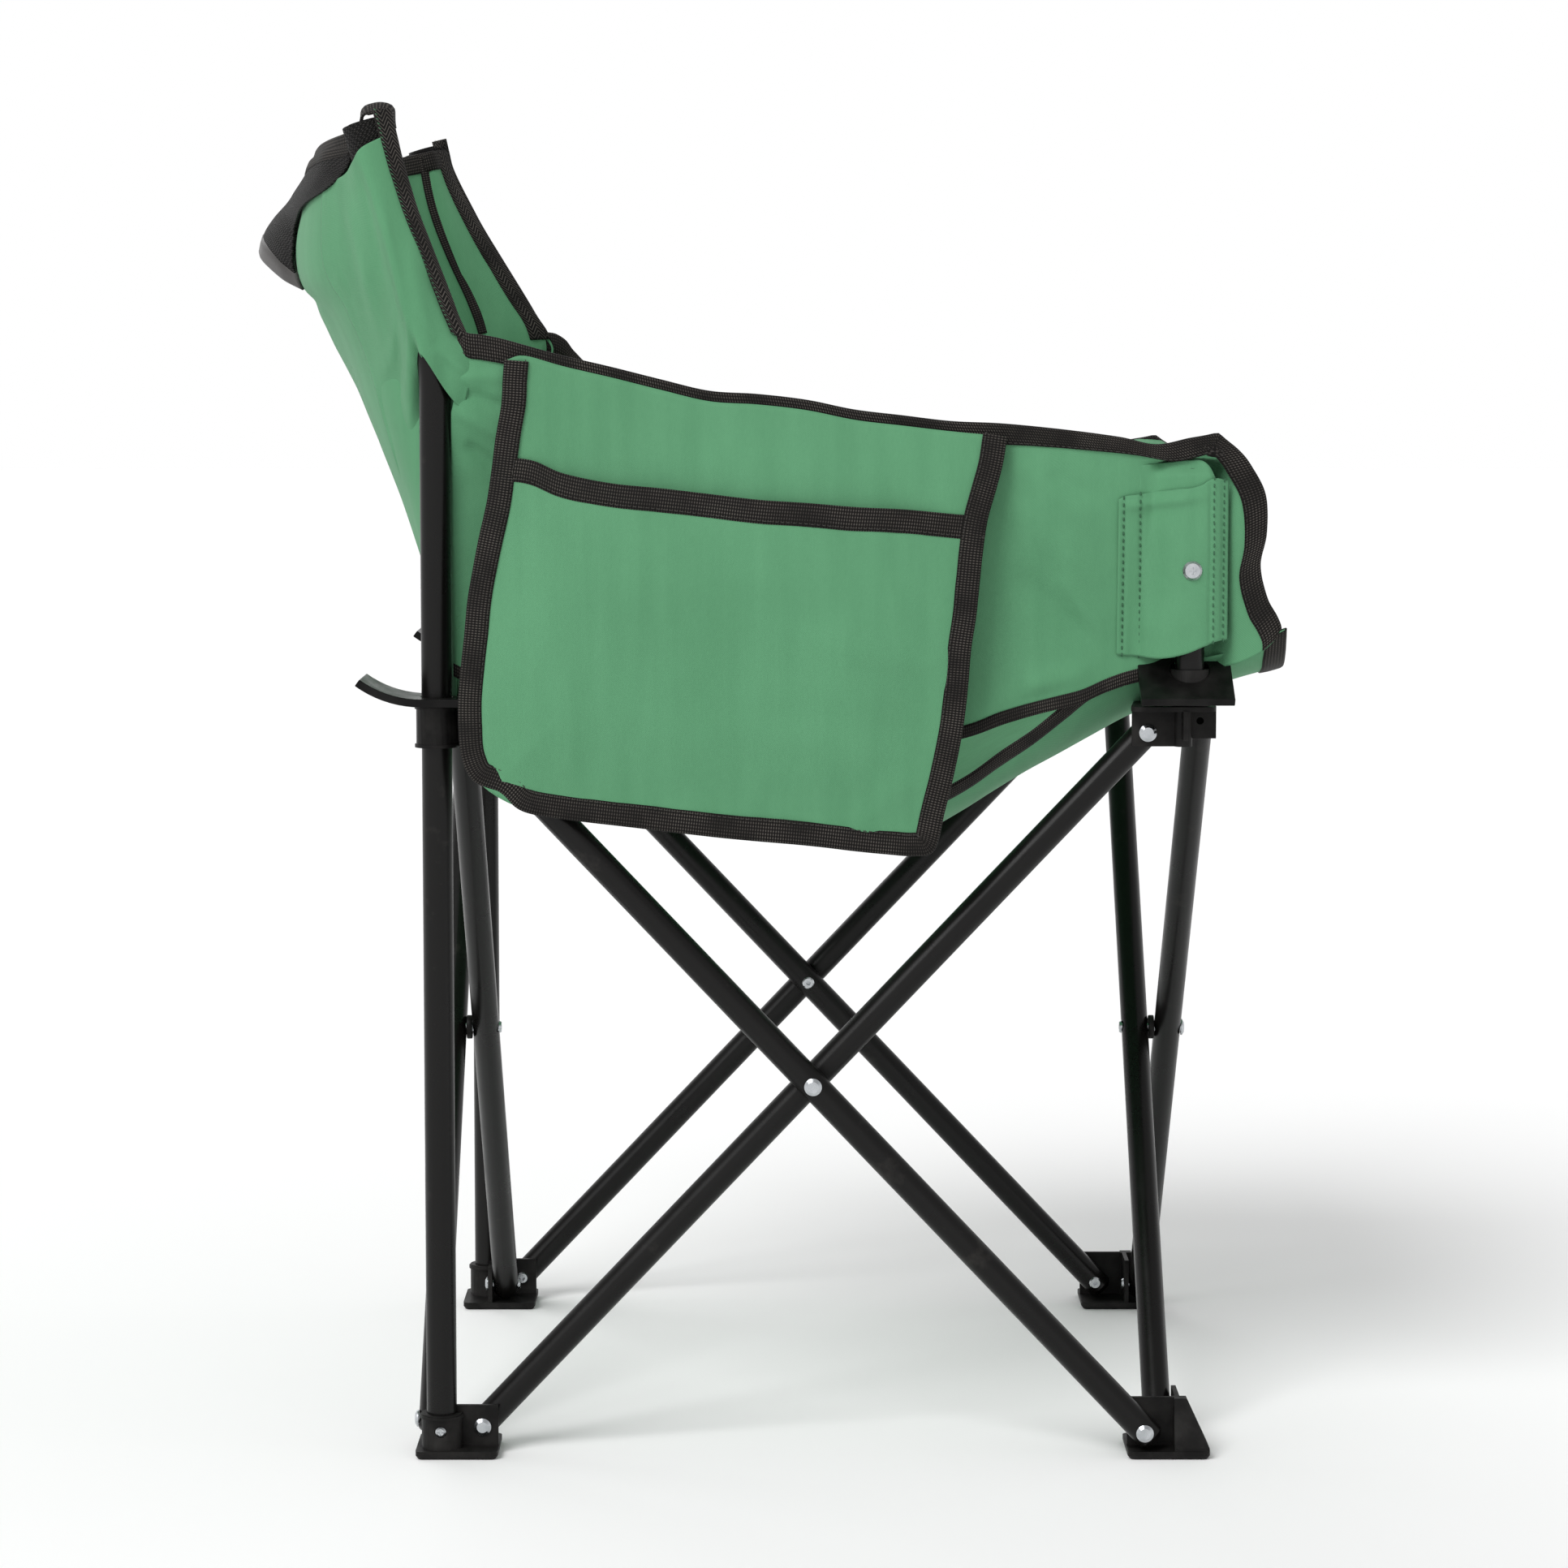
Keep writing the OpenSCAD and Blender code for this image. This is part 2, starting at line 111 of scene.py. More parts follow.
def curve(points, count):
    """A smooth curve through the points, as count points evenly spread along it."""
    points = np.asarray(points, float)
    ends = [2 * points[:1] - points[1:2], points, 2 * points[-1:] - points[-2:-1]]
    padded = np.concatenate(ends)

    def sample(t):
        i = np.clip(t.astype(int), 0, len(points) - 2)
        f = (t - i).reshape(-1, *[1] * (points.ndim - 1))
        a, b, c, d = (padded[i + k] for k in range(4))
        return 0.5 * (2 * b + (c - a) * f + (2 * a - 5 * b + 4 * c - d) * f * f
                      + (3 * b - a - 3 * c + d) * f ** 3)

    t = np.linspace(0, len(points) - 1, 12 * count)
    fine = sample(t)
    steps = np.linalg.norm(np.diff(fine, axis=0), axis=-1)
    steps = steps.reshape(len(steps), -1).mean(1)
    far = np.concatenate([[0], np.cumsum(steps)])
    return sample(np.interp(np.linspace(0, far[-1], count), far, t))


def net(control, nu, nv):
    """A smooth surface through a grid of control points."""
    return np.swapaxes(curve(np.swapaxes(curve(control, nu), 0, 1), nv), 0, 1)


def patch(bottom, top, rear, front, nu, nv):
    """A surface spanned between four edges: u runs rear to front, v bottom to top."""
    b, t = curve(bottom, nu)[:, None], curve(top, nu)[:, None]
    r, f = curve(rear, nv)[None], curve(front, nv)[None]
    u, v = np.linspace(0, 1, nu)[:, None, None], np.linspace(0, 1, nv)[None, :, None]
    corners = ((1 - u) * (1 - v) * b[0, 0] + u * (1 - v) * b[-1, 0]
               + (1 - u) * v * t[0, 0] + u * v * t[-1, 0])
    return (1 - v) * b + v * t + (1 - u) * r + u * f - corners


def unit(vectors):
    return vectors / np.maximum(np.linalg.norm(vectors, axis=-1, keepdims=True), 1e-9)


def normals_of(grid):
    return unit(np.cross(np.gradient(grid, axis=0), np.gradient(grid, axis=1)))


def ripple(grid, size, height, seed, stretch=(1, 1, 1)):
    """Soft random unevenness of a cloth surface along its normal, none at its borders."""
    flat = grid.reshape(-1, 3) / size / np.array(stretch)
    bump = [noise.fractal(Vector(p) + Vector((seed, 0, 0)), 0.9, 2.1, OCTAVES)
            for p in flat]
    i, j = (np.minimum(np.arange(n), n - 1 - np.arange(n)) for n in grid.shape[:2])
    calm = ease(np.minimum(i[:, None], j[None]) / CALM_ROWS)
    lift = height * calm * np.array(bump).reshape(grid.shape[:2])
    return grid + normals_of(grid) * lift[..., None]


def crease(grid, outer, folds):
    """Folds from start to end in the x-z plane, each fading out at its ends."""
    lift = np.zeros(grid.shape[:2])
    p = grid[..., [0, 2]]
    for start, end, width, height in folds:
        a, b = np.array(start), np.array(end)
        along_it = ((p - a) @ (b - a)) / ((b - a) @ (b - a))
        near = p - a - np.clip(along_it, 0, 1)[..., None] * (b - a)
        lift += (height * bell(np.linalg.norm(near, axis=-1), width)
                 * ease(along_it * FADE_IN) * ease((1 - along_it) * FADE_OUT))
    return grid + outer * lift[..., None]


def facing(grid, hint):
    """The normals of a surface, turned so that most of them point along hint."""
    normal = normals_of(grid)
    return normal * (1 if (normal @ hint).mean() > 0 else -1)


def edge_of(grid, name, width):
    """(path, inward, normal) along one edge of a surface."""
    def turned(surface):
        if name in ("rear", "front"):
            surface = np.swapaxes(surface, 0, 1)
        return surface[:, ::-1] if name in ("top", "front") else surface

    rows = turned(grid)
    far = np.linalg.norm(rows - rows[:, :1], axis=-1).mean(0)
    k = min(max(1, int(np.searchsorted(far, width))), rows.shape[1] - 1)
    return rows[:, 0], unit(rows[:, k] - rows[:, 0]), turned(normals_of(grid))[:, 0]


def distances(path):
    """How far along a path each of its points is."""
    return np.concatenate([[0], np.cumsum(np.linalg.norm(np.diff(path, axis=0), axis=1))])


def joined(*edges):
    """Edges end to end, with their directions smoothed over the corners."""
    path, inward, normal = (np.concatenate([e[i] for e in edges]) for i in range(3))
    step = np.concatenate([[1], np.linalg.norm(np.diff(path, axis=0), axis=1)])
    keep = step > 0.5
    path, inward, normal = path[keep], inward[keep], normal[keep]
    far = distances(path)
    near = bell(far[:, None] - far[None], CORNER)
    near /= near.sum(1, keepdims=True)
    return path, unit(near @ inward), unit(near @ normal)


def cut(edge, kept):
    """The part of an edge where kept is true."""
    return tuple(part[kept] for part in edge)


def resampled(edge, spacing):
    """The same edge with points an even distance apart."""
    far = distances(edge[0])
    at = np.linspace(0, far[-1], max(4, int(far[-1] / spacing)))
    path, inward, normal = (np.stack([np.interp(at, far, axis) for axis in part.T], 1)
                            for part in edge)
    return path, unit(inward), unit(normal)


# ---- pieces ----
def new_piece(name, points, faces, material, uv=None):
    mesh = bpy.data.meshes.new(name)
    mesh.from_pydata(in_frame(points).tolist(), [], faces)
    mesh.materials.append(material)
    if uv is not None:
        layer = mesh.uv_layers.new(name="metres")
        corners = np.zeros(len(mesh.loops), np.int32)
        mesh.loops.foreach_get("vertex_index", corners)
        layer.data.foreach_set("uv", np.asarray(uv, np.float32)[corners].ravel())
    mesh.polygons.foreach_set("use_smooth", [True] * len(mesh.polygons))
    mesh.validate()
    piece = bpy.data.objects.new(name, mesh)
    bpy.context.scene.collection.objects.link(piece)
    return piece


def grid_faces(nu, nv, around=False):
    rows = np.arange(nu - 1)[:, None] * nv
    span = nv if around else nv - 1
    j = np.arange(span)[None]
    k = (j + 1) % nv
    return np.stack([rows + j, rows + k, rows + nv + k, rows + nv + j], -1).reshape(-1, 4)


def lengths(grid, axis):
    """How far along an axis each point of a grid is, in metres."""
    steps = np.linalg.norm(np.diff(grid, axis=axis), axis=-1) / 1000
    return np.concatenate([np.zeros_like(steps.take([0], axis)), np.cumsum(steps, axis)], axis)


def cloth(name, grid, material, thickness=CLOTH):
    """A sheet of cloth on a grid of points."""
    nu, nv = grid.shape[:2]
    uv = np.stack([lengths(grid, 0), lengths(grid, 1)], -1).reshape(-1, 2)
    piece = new_piece(name, grid.reshape(-1, 3), grid_faces(nu, nv).tolist(), material, uv)
    solid = piece.modifiers.new("thickness", "SOLIDIFY")
    solid.thickness, solid.offset = thickness / 1000, 0
    return piece


# A tape's section over an edge, in shares of its width and of half its thickness.
TAPE_SECTION = [
    (1, 0.25), (0.97, 0.85), (0.75, 1), (0.5, 1.06), (0.25, 1), (0.04, 0.95), (-0.08, 0.6),
    (-0.11, 0), (-0.08, -0.6), (0.04, -0.95), (0.5, -1.06), (0.97, -0.85), (1, -0.25)
]
# How much a tape's width varies, and over what length.
WANDER, WANDER_LENGTH = 0.25, 14


def tape(name, edge, width, material, thick=TAPE, spacing=2.0):
    """A tape folded over a free edge, or laid flat where the edge is on a surface."""
    path, inward, normal = resampled(edge, spacing)
    n, m = len(path), len(TAPE_SECTION)
    far = distances(path)
    waves = [noise.noise(Vector((s / WANDER_LENGTH, width, 0))) for s in far]
    wide = width + WANDER * np.array(waves)
    depth, height = np.array(TAPE_SECTION).T
    half = thick + CLOTH / 2
    grid = (path[:, None] + inward[:, None] * (wide[:, None] * depth)[..., None]
            + normal[:, None] * (half * height)[None, :, None])
    round_it = distances(np.stack([depth * width, height * half], 1)) / 1000
    uv = np.stack([np.repeat(far / 1000, m), np.tile(round_it, n)], 1)
    faces = grid_faces(n, m, around=True).tolist()
    faces += [list(range(m))[::-1], list(range((n - 1) * m, n * m))]
    return new_piece(name, grid.reshape(-1, 3), faces, material, uv)


# Where a stitch is full, as a share of its length from its middle, and how proud it stands.
SHOULDER, CROWN = 0.3, 1.3


def seam(name, edge, inset, material, lift=TAPE + CLOTH / 2, pitch=3.6, long=2.5,
         thick=STITCH, slant=0.0):
    """A row of stitches at some distance in from an edge, each a small raised thread."""
    path, inward, normal = resampled(edge, pitch)
    line = path + inward * inset + normal * lift
    ahead = unit(np.gradient(line, axis=0))
    across = unit(np.cross(normal, ahead))
    ahead = unit(ahead + slant * across)
    points, faces = [], []
    for p, a, c, n in zip(line, ahead, across, normal):
        first = len(points)
        points += [p - a * long / 2, p + a * long / 2]
        for shift in (-SHOULDER, SHOULDER):
            q = p + a * long * shift
            points += [q + c * thick, q + n * thick * CROWN, q - c * thick, q - n * thick]
        for k in range(4):
            m = (k + 1) % 4
            b = first + 2
            faces += [[first, b + m, b + k], [b + k, b + m, b + 4 + m, b + 4 + k],
                      [first + 1, b + 4 + k, b + 4 + m]]
    return new_piece(name, np.array(points), faces, material)


# ---- materials ----
class Paint:
    """Builds one node material: each method adds a node and returns its output."""

    def __init__(self, name, **fixed):
        self.material = bpy.data.materials.new(name)
        self.material.use_nodes = True
        self.nodes = self.material.node_tree.nodes
        self.links = self.material.node_tree.links
        self.shader = self.nodes["Principled BSDF"]
        for socket, value in fixed.items():
            self.shader.inputs[socket.replace("_", " ")].default_value = value

    def node(self, kind, inputs=(), output=0, **settings):
        made = self.nodes.new(kind)
        for key, value in settings.items():
            setattr(made, key, value)
        for key, value in dict(inputs).items():
            if isinstance(value, bpy.types.NodeSocket):
                self.links.new(value, made.inputs[key])
            else:
                made.inputs[key].default_value = value
        return made.outputs[output]

    def math(self, operation, *values):
        return self.node("ShaderNodeMath", enumerate(values), operation=operation)

    def noise(self, scale, detail=3.0, roughness=0.5, vector=None):
        """Noise at the place on the object, or at another vector."""
        return self.node("ShaderNodeTexNoise", {
            "Vector": self.place() if vector is None else vector, "Scale": scale,
            "Detail": detail, "Roughness": roughness})

    def place(self):
        return self.node("ShaderNodeTexCoord", output="Object")

    def scaled(self, vector, scales):
        return self.node("ShaderNodeVectorMath", {0: vector, 1: scales}, operation="MULTIPLY")

    def cloth_place(self):
        """The place on the cloth in metres, as one vector and as u and v."""
        uv = self.node("ShaderNodeUVMap", uv_map="metres")
        split = self.nodes.new("ShaderNodeSeparateXYZ")
        self.links.new(uv, split.inputs[0])
        return uv, split.outputs[0], split.outputs[1]

    def wave(self, along, pitch, shift=0.0):
        """A sine from -1 to 1 with a given pitch in metres."""
        return self.math("SINE", self.math("MULTIPLY_ADD", along, 2 * math.pi / pitch, shift))

    def blend(self, factor, a, b):
        return self.node("ShaderNodeMix", {0: factor, 6: a, 7: b}, 2, data_type="RGBA")

    def spread(self, value, low, high, to_low=0.0, to_high=1.0):
        return self.node("ShaderNodeMapRange", {0: value, 1: low, 2: high, 3: to_low, 4: to_high})

    def finish(self, colour=None, roughness=None, height=None, depth=0.0003, strength=1.0):
        """Connects what is given to the shader, the height as a bump of some depth."""
        bump = None if height is None else self.node(
            "ShaderNodeBump", {"Height": height, "Distance": depth, "Strength": strength})
        for socket, value in (("Base Color", colour), ("Roughness", roughness), ("Normal", bump)):
            if value is not None:
                self.links.new(value, self.shader.inputs[socket])
        return self.material


CANVAS_DARK, CANVAS_PALE = (0.070, 0.222, 0.108, 1), (0.116, 0.322, 0.168, 1)
CANVAS_PITCH = 0.0012
# TAPE_DARK is a tape's own colour; the paler colour is a painted highlight on the tops of its ribs.
TAPE_DARK, TAPE_HIGHLIGHT = (0.0035, 0.0031, 0.0028, 1), (0.098, 0.088, 0.078, 1)
# Across a tape: pitch of its rows, and width and slope of a herringbone's zigzag.
TAPE_PITCH, ZIGZAG, ZIGZAG_SLOPE = 0.0021, 0.0042, 1.3
# Length of a cell of the mesh along its row, and the width of a row.
CELL_LENGTH, ROW_WIDTH = 0.0030, 0.0021


def canvas_material():
    """Green plain-weave polyester with a slight sheen. Its colour has faint lighter vertical
    streaks, partly dust and partly painted highlights along faint creases.
    """
    p = Paint("canvas_green", Specular_IOR_Level=0.2, Sheen_Weight=0.06, Sheen_Roughness=0.5)
    uv, u, v = p.cloth_place()
    weave = p.math("MULTIPLY", p.wave(u, CANVAS_PITCH), p.wave(v, CANVAS_PITCH))
    thread = p.noise(1.0, 2.0, vector=p.scaled(uv, (2600, 160, 1)))
    patches = p.noise(7.0, 4.0, 0.6)
    # Lighter vertical streaks: partly dust, partly painted highlights along faint creases.
    dust_and_crease_highlights = p.noise(1.0, 3.0, vector=p.scaled(p.place(), (60, 60, 5)))
    tone = p.math("ADD", p.spread(patches, 0.3, 0.7, -0.05, 0.05),
                  p.spread(dust_and_crease_highlights, 0.35, 0.75, -0.04, 0.07))
    tone = p.math("ADD", tone, p.spread(weave, -1, 1, -0.05, 0.05))
    tone = p.math("ADD", tone, p.spread(thread, 0.3, 0.7, -0.03, 0.03))
    colour = p.blend(p.spread(tone, -0.17, 0.17), CANVAS_DARK, CANVAS_PALE)
    height = p.math("ADD", weave, p.spread(thread, 0.3, 0.7, -0.4, 0.4))
    return p.finish(colour, p.spread(patches, 0.3, 0.7, 0.62, 0.78), height, 0.00008, 0.6)


def webbing_material(name, rib, herringbone=False, gloss=0.62):
    """Black-brown tape woven in ribs, or in a herringbone, with painted highlights on its ribs."""
    p = Paint(name, Specular_IOR_Level=0.12, Sheen_Weight=0.03)
    _, u, v = p.cloth_place()
    if herringbone:
        zigzag = p.math("PINGPONG", v, ZIGZAG)
        weave = p.wave(p.math("MULTIPLY_ADD", zigzag, ZIGZAG_SLOPE, u), rib)
    else:
        weave = p.math("MULTIPLY", p.math("MULTIPLY_ADD", p.wave(u, rib), 0.5, 0.5),
                       p.math("MULTIPLY_ADD", p.wave(v, TAPE_PITCH), 0.35, 0.65))
    fuzz = p.noise(1800.0, 2.0)
    worn_and_highlight_patches = p.noise(38.0, 3.0)
    patchy_highlight = p.spread(worn_and_highlight_patches, 0.36, 0.62, 0.3, 1.0)
    # Painted highlight: the rib tops are coloured lighter, more in some patches (the same noise
    # sets the roughness); fuzz adds faint pale specks.
    light = p.math("MULTIPLY", p.spread(weave, 0.25, 0.95), patchy_highlight)
    light = p.math("ADD", light, p.spread(fuzz, 0.45, 0.8, 0.0, 0.08))
    colour = p.blend(light, TAPE_DARK, TAPE_HIGHLIGHT)
    height = p.math("ADD", weave, p.math("MULTIPLY", fuzz, 0.5))
    return p.finish(colour, p.spread(worn_and_highlight_patches, 0.3, 0.7, gloss, gloss + 0.14), height, 0.00025, 0.9)


def mesh_material():
    """Coarse black sports mesh: rows of small cells, each with a painted highlight."""
    p = Paint("mesh_black", Specular_IOR_Level=0.18)
    _, u, v = p.cloth_place()
    row = p.math("MULTIPLY", p.wave(v, 2 * ROW_WIDTH), 1.6)
    cells = p.math("MULTIPLY", p.wave(u, CELL_LENGTH, row), p.wave(v, ROW_WIDTH))
    fuzz = p.noise(900.0, 2.0)
    # Painted highlight: the raised middle of each cell is coloured paler than the black mesh.
    light = p.math("MULTIPLY", p.spread(cells, 0.1, 1.0), p.spread(fuzz, 0.3, 0.7, 0.4, 1.0))
    colour = p.blend(light, (0.004, 0.0038, 0.0036, 1), (0.05, 0.046, 0.043, 1))
    return p.finish(colour, p.spread(cells, -1, 1, 0.8, 0.45), cells, 0.0005, 1.0)


def vinyl_material():
    """Smooth, slightly glossy black band."""
    p = Paint("band_grey", Specular_IOR_Level=0.35)
    grain = p.noise(420.0, 4.0)
    cloudy = p.noise(30.0, 2.0)
    colour = p.blend(cloudy, (0.03, 0.028, 0.027, 1), (0.085, 0.08, 0.078, 1))
    return p.finish(colour, p.spread(cloudy, 0.3, 0.7, 0.34, 0.5), grain, 0.0002, 0.5)


def tube_material():
    """Satin black powder coat with a faint orange peel and dusty scuffs."""
    p = Paint("tube_black", Specular_IOR_Level=0.22)
    peel = p.noise(900.0, 2.0)
    dust = p.noise(26.0, 5.0, 0.65)
    scuff = p.spread(dust, 0.62, 0.78)
    colour = p.blend(scuff, (0.0035, 0.0032, 0.0030, 1), (0.022, 0.020, 0.018, 1))
    return p.finish(colour, p.spread(dust, 0.3, 0.75, 0.24, 0.38), peel, 0.00006, 0.5)


def plastic_material(name, dark, pale, rough):
    """Moulded plastic with a fine spark-eroded grain and rubbed patches."""
    p = Paint(name, Specular_IOR_Level=0.12)
    grain = p.noise(1500.0, 3.0)
    rubbed = p.noise(60.0, 4.0)
    colour = p.blend(p.spread(rubbed, 0.4, 0.75), dark, pale)
    return p.finish(colour, p.spread(rubbed, 0.3, 0.7, rough, rough + 0.15), grain, 0.0001, 0.6)


def zinc_material():
    """Bright zinc plate with fine tool marks."""
    p = Paint("zinc", Metallic=1.0)
    marks = p.noise(700.0, 4.0)
    dull = p.noise(120.0, 3.0)
    colour = p.blend(dull, (0.30, 0.32, 0.34, 1), (0.70, 0.72, 0.74, 1))
    return p.finish(colour, p.spread(dull, 0.3, 0.7, 0.16, 0.34), marks, 0.00006, 0.5)


def thread_material(name, dark, pale):
    p = Paint(name, Roughness=0.6)
    twist = p.noise(2200.0, 2.0)
    return p.finish(p.blend(twist, dark, pale), None, twist, 0.0001, 0.6)


CANVAS = canvas_material()
RIBBED = webbing_material("webbing_ribbed", 0.0016)
FINE = webbing_material("webbing_fine", 0.0014, gloss=0.55)
TWILL = webbing_material("webbing_herringbone", 0.0030, herringbone=True)
MESH = mesh_material()
BAND = vinyl_material()
THREAD = thread_material("thread_black", (0.012, 0.011, 0.010, 1), (0.05, 0.045, 0.04, 1))
GREEN_THREAD = thread_material("thread_green", (0.04, 0.16, 0.075, 1), (0.07, 0.25, 0.12, 1))
# Green thread, made darker than the canvas as painted shade along the sleeve's stitch lines.
SHADED_THREAD = thread_material(
    "thread_green_painted_shade", (0.018, 0.085, 0.038, 1), (0.035, 0.13, 0.06, 1))
NODE_FINISH = {
    "tube_black": tube_material(),
    "plastic_black": plastic_material(
        "plastic_black", (0.0055, 0.0052, 0.0050, 1), (0.020, 0.019, 0.018, 1), 0.42),
    "plate_black": plastic_material(
        "plate_black", (0.0035, 0.0033, 0.0032, 1), (0.012, 0.0115, 0.011, 1), 0.26),
    "zinc": zinc_material(),
    "canvas_green": CANVAS,
    "webbing_black": RIBBED,
    "mesh_black": MESH,
}


# Moulded parts: distance at which points are welded, radius and angle of the rounded edges.
WELD, ROUND, SHARP = 0.00002, 0.0006, math.radians(40)


def finish_nodes():
    """Gives every CAD node its material, and moulded parts softly rounded edges."""
    for part in frame["record"]["subparts"]:
        piece, slot = frame["nodes"][part["node"]], part["material_slot"]
        piece.data.materials.clear()
        piece.data.materials.append(NODE_FINISH[slot])
        if slot in ("plastic_black", "plate_black"):
            weld = piece.modifiers.new("weld", "WELD")
            weld.merge_threshold = WELD
            bevel = piece.modifiers.new("round", "BEVEL")
            bevel.width, bevel.segments = ROUND, 2
            bevel.limit_method, bevel.angle_limit = "ANGLE", SHARP
            bevel.harden_normals = True


# ---- shape of the fabric ----
def tube_x(z):
    """Centre line of the rear upright: straight, then a bend, then a lean."""
    turn = np.arcsin(np.clip((z - BEND_Z) / BEND_R, 0, math.sin(BEND_TURN)))
    above = np.maximum(z - BEND_Z - BEND_R * math.sin(BEND_TURN), 0)
    return -POST - BEND_R * (1 - np.cos(turn)) - above * math.tan(BEND_TURN)


# x of the back at each height z, as (z, x): along its middle, and along its free side edges.
BACK_MIDDLE = [
    (466, -209), (483.5, -218), (511.6, -232), (559, -252.4), (611.3, -273.7), (648, -289.1),
    (690.7, -305.6), (711, -315.3), (725.5, -323), (732.3, -328.8), (741, -336), (754.6, -338),
    (773, -335.5), (792.3, -331.5), (811.7, -325), (832, -317.5)
]
BACK_EDGE = [
    (655, -224), (661, -223), (675, -219.5), (688, -216), (698, -214), (706, -215), (716, -219.5),
    (731, -225), (754, -234), (781, -244.5), (811, -253.5), (846, -261.5)
]
# Heights of the back's top in the middle, of its rise to the sides, and of its bottom.
BACK_TOP, BACK_RISE, BACK_LOW = 820, 15, 470
# The trough reaches the inside of the upright at this share of its half width, at this y,
# and this far in front of the tube's centre line.
TUBE_SHARE, INNER_Y, SLACK = 0.94, 222, 6
# y of the free edges above the armrest.
EDGE_Y = 236.5
# How much further forward the left side's free edge flares, and how far its arm sags.
FLARE, SAG = 27, 12.5


def along(table, z):
    return np.interp(z, *np.array(table).T)


def edge_x(z, side):
    """The back's free edge; on the left it flares further to the front."""
    shift = FLARE * np.clip((823 - z) / 119, 0, 1) * ease((z - 655) / 40) if side > 0 else 0
    return along(BACK_EDGE, z) + shift


def back_point(a, z, side=-1):
    """The back's trough at a share a of its half width, inside the upright."""
    t = min(a / TUBE_SHARE, 1)
    x = mix(along(BACK_MIDDLE, z), tube_x(z) + SLACK, t ** 2.4)
    y = INNER_Y * math.sin(t * math.pi / 2)
    if a > TUBE_SHARE:
        high = ease((z - 682) / 22)
        front = edge_x(z, side)
        edge = (front + mix(1.5, -1.5, high), mix(side_y(front, z) - 0.8, EDGE_Y, high))
        beyond = (a - TUBE_SHARE) / (1 - TUBE_SHARE)
        x, y = mix(x, edge[0], beyond), mix(y, edge[1], beyond)
    return x, y


def back_grid():
    """The whole trough of the back, from the right edge to the left one."""
    shares = [0, 0.16, 0.32, 0.48, 0.62, 0.74, 0.84, 0.9, 0.94, 0.97, 1]
    shares = [-s for s in shares[:0:-1]] + shares
    rows = []
    for s in shares:
        top = BACK_TOP + BACK_RISE * s * s
        levels = [mix(BACK_LOW + 6 * s * s, top, v) for v in np.linspace(0, 1, 18)]
        rows.append([(x, math.copysign(y, s), z) for z in levels
                     for x, y in [back_point(abs(s), z, math.copysign(1, s))]])
    return net(rows, 200, 140)


# Lower and upper ends of the sleeve's columns, from the back round the tube to the edge.
WING_LOW = [600, 630, 672, 694, 670, 658]
WING_HIGH = [798, 804, 811, 819, 825, 829]
EDGE_HIGH = [835, 836, 838, 840, 842, 844]
CAP_LOW = [792, 797, 803, 810, 815, 820]
CAP_HIGH = [825, 827, 831, 834, 837, 839]


def wing_grid(side, lows, highs, under=False):
    """The outer layer of the sleeve that slips over the top of an upright.

    lows and highs are the ends of its six columns. under makes its inner layer.
    """
    rows = []
    for share in np.linspace(0, 1, 20):
        row = []
        proud = 0.95 if under else mix(-1.4, 1.1, ease(share * 6))
        for k, (low, high) in enumerate(zip(lows, highs)):
            z = mix(low, high, share)
            t, edge = tube_x(z), edge_x(z, side)
            loose = ease((z - 668) / 26)
            shares = (0.85, 0.88, 0.9) if under else (0.6, 0.76, 0.9)
            hugs = [np.array(back_point(a, z)) + (-0.6 * proud, proud) for a in shares]
            rear = mix(hugs[2], np.array([t - 13.5, 240]), loose)
            high = ease((z - 688) / 14)
            edge += 7 * (1 - high)
            low_y = side_y(edge, z) - 1.2
            spots = [hugs[0], mix(hugs[1], mix(hugs[0], rear, 0.62), 0.8 * loose), rear,
                     (t - 5.5, 248.6), (max(t + 6.5, mix(t, edge, 0.4)), mix(244, 247, high)),
                     (edge, mix(low_y, 239, high))]
            tuck = 2.3 if under and k > 1 else 0
            row.append((spots[k][0], spots[k][1] - tuck, z))
        rows.append(row)
    return net(np.swapaxes(np.array(rows), 0, 1), 96, 130)


# Outlines of the side panel, as (x, z).
ARM_TOP = [
    (-220, 713), (-217.5, 707.5), (-213, 704.8), (-205.5, 704), (-192.5, 701.5), (-178, 697.5),
    (-154, 691), (-124, 684), (-94, 676.5), (-64, 669.5), (-34, 667.5), (-4, 664), (26, 658),
    (55.5, 654.5), (85.5, 651), (118, 649.5), (155, 646), (190, 641.5), (213, 637), (234, 641),
    (250, 643.5)
]
ARM_FRONT = [
    (290, 519), (290, 524), (287, 531), (281, 542), (276.5, 562), (280, 582), (279, 606),
    (270, 624), (262, 634), (250, 643.5)
]
SIDE_REAR = [
    (-224.3, 494), (-224.5, 560), (-224.5, 620), (-224, 655), (-223, 661), (-220.5, 675),
    (-219.5, 690), (-220, 713)
]
SIDE_LOW = [
    (-224.3, 494), (-197, 480), (-150, 461), (-80, 449), (0, 446), (60, 449), (94, 455), (120, 464),
    (140, 470), (167, 477), (183, 484), (205, 491), (235, 495), (262, 501), (279, 509), (290, 519)
]


def drawn(points, side):
    """The same outline on a side: the left arm hangs lower, and its corner is further on."""
    if side < 0:
        return points
    return [(x + 0.9 * FLARE * ease((-150 - x) / 64) * ease((z - 655) / 40),
             z - SAG * ease((x + 210) / 60) * ease((300 - x) / 50) * ease((z - 590) / 40))
            for x, z in points]


def side_y(x, z, recess=1.0):
    """How far out the side panel is: it bulges between the posts, and dips at the arm post."""
    middle = 229.5 + 14 * ease((z - 480) / 180)
    rear = 229 + 11.5 * ease((z - 600) / 80)
    front = 236.5 + 2.5 * ease((z - 520) / 100)
    y = mix(mix(middle, rear, ease((-150 - x) / 60)), front, ease((x - 222) / 45))
    tunnel = recess * bell(x - POST, 19) * ease((630 - z) / 5)
    return mix(y, 222.5, ease(tunnel * 1.6))


def with_y(points):
    return [(x, side_y(x, z), z) for x, z in points]


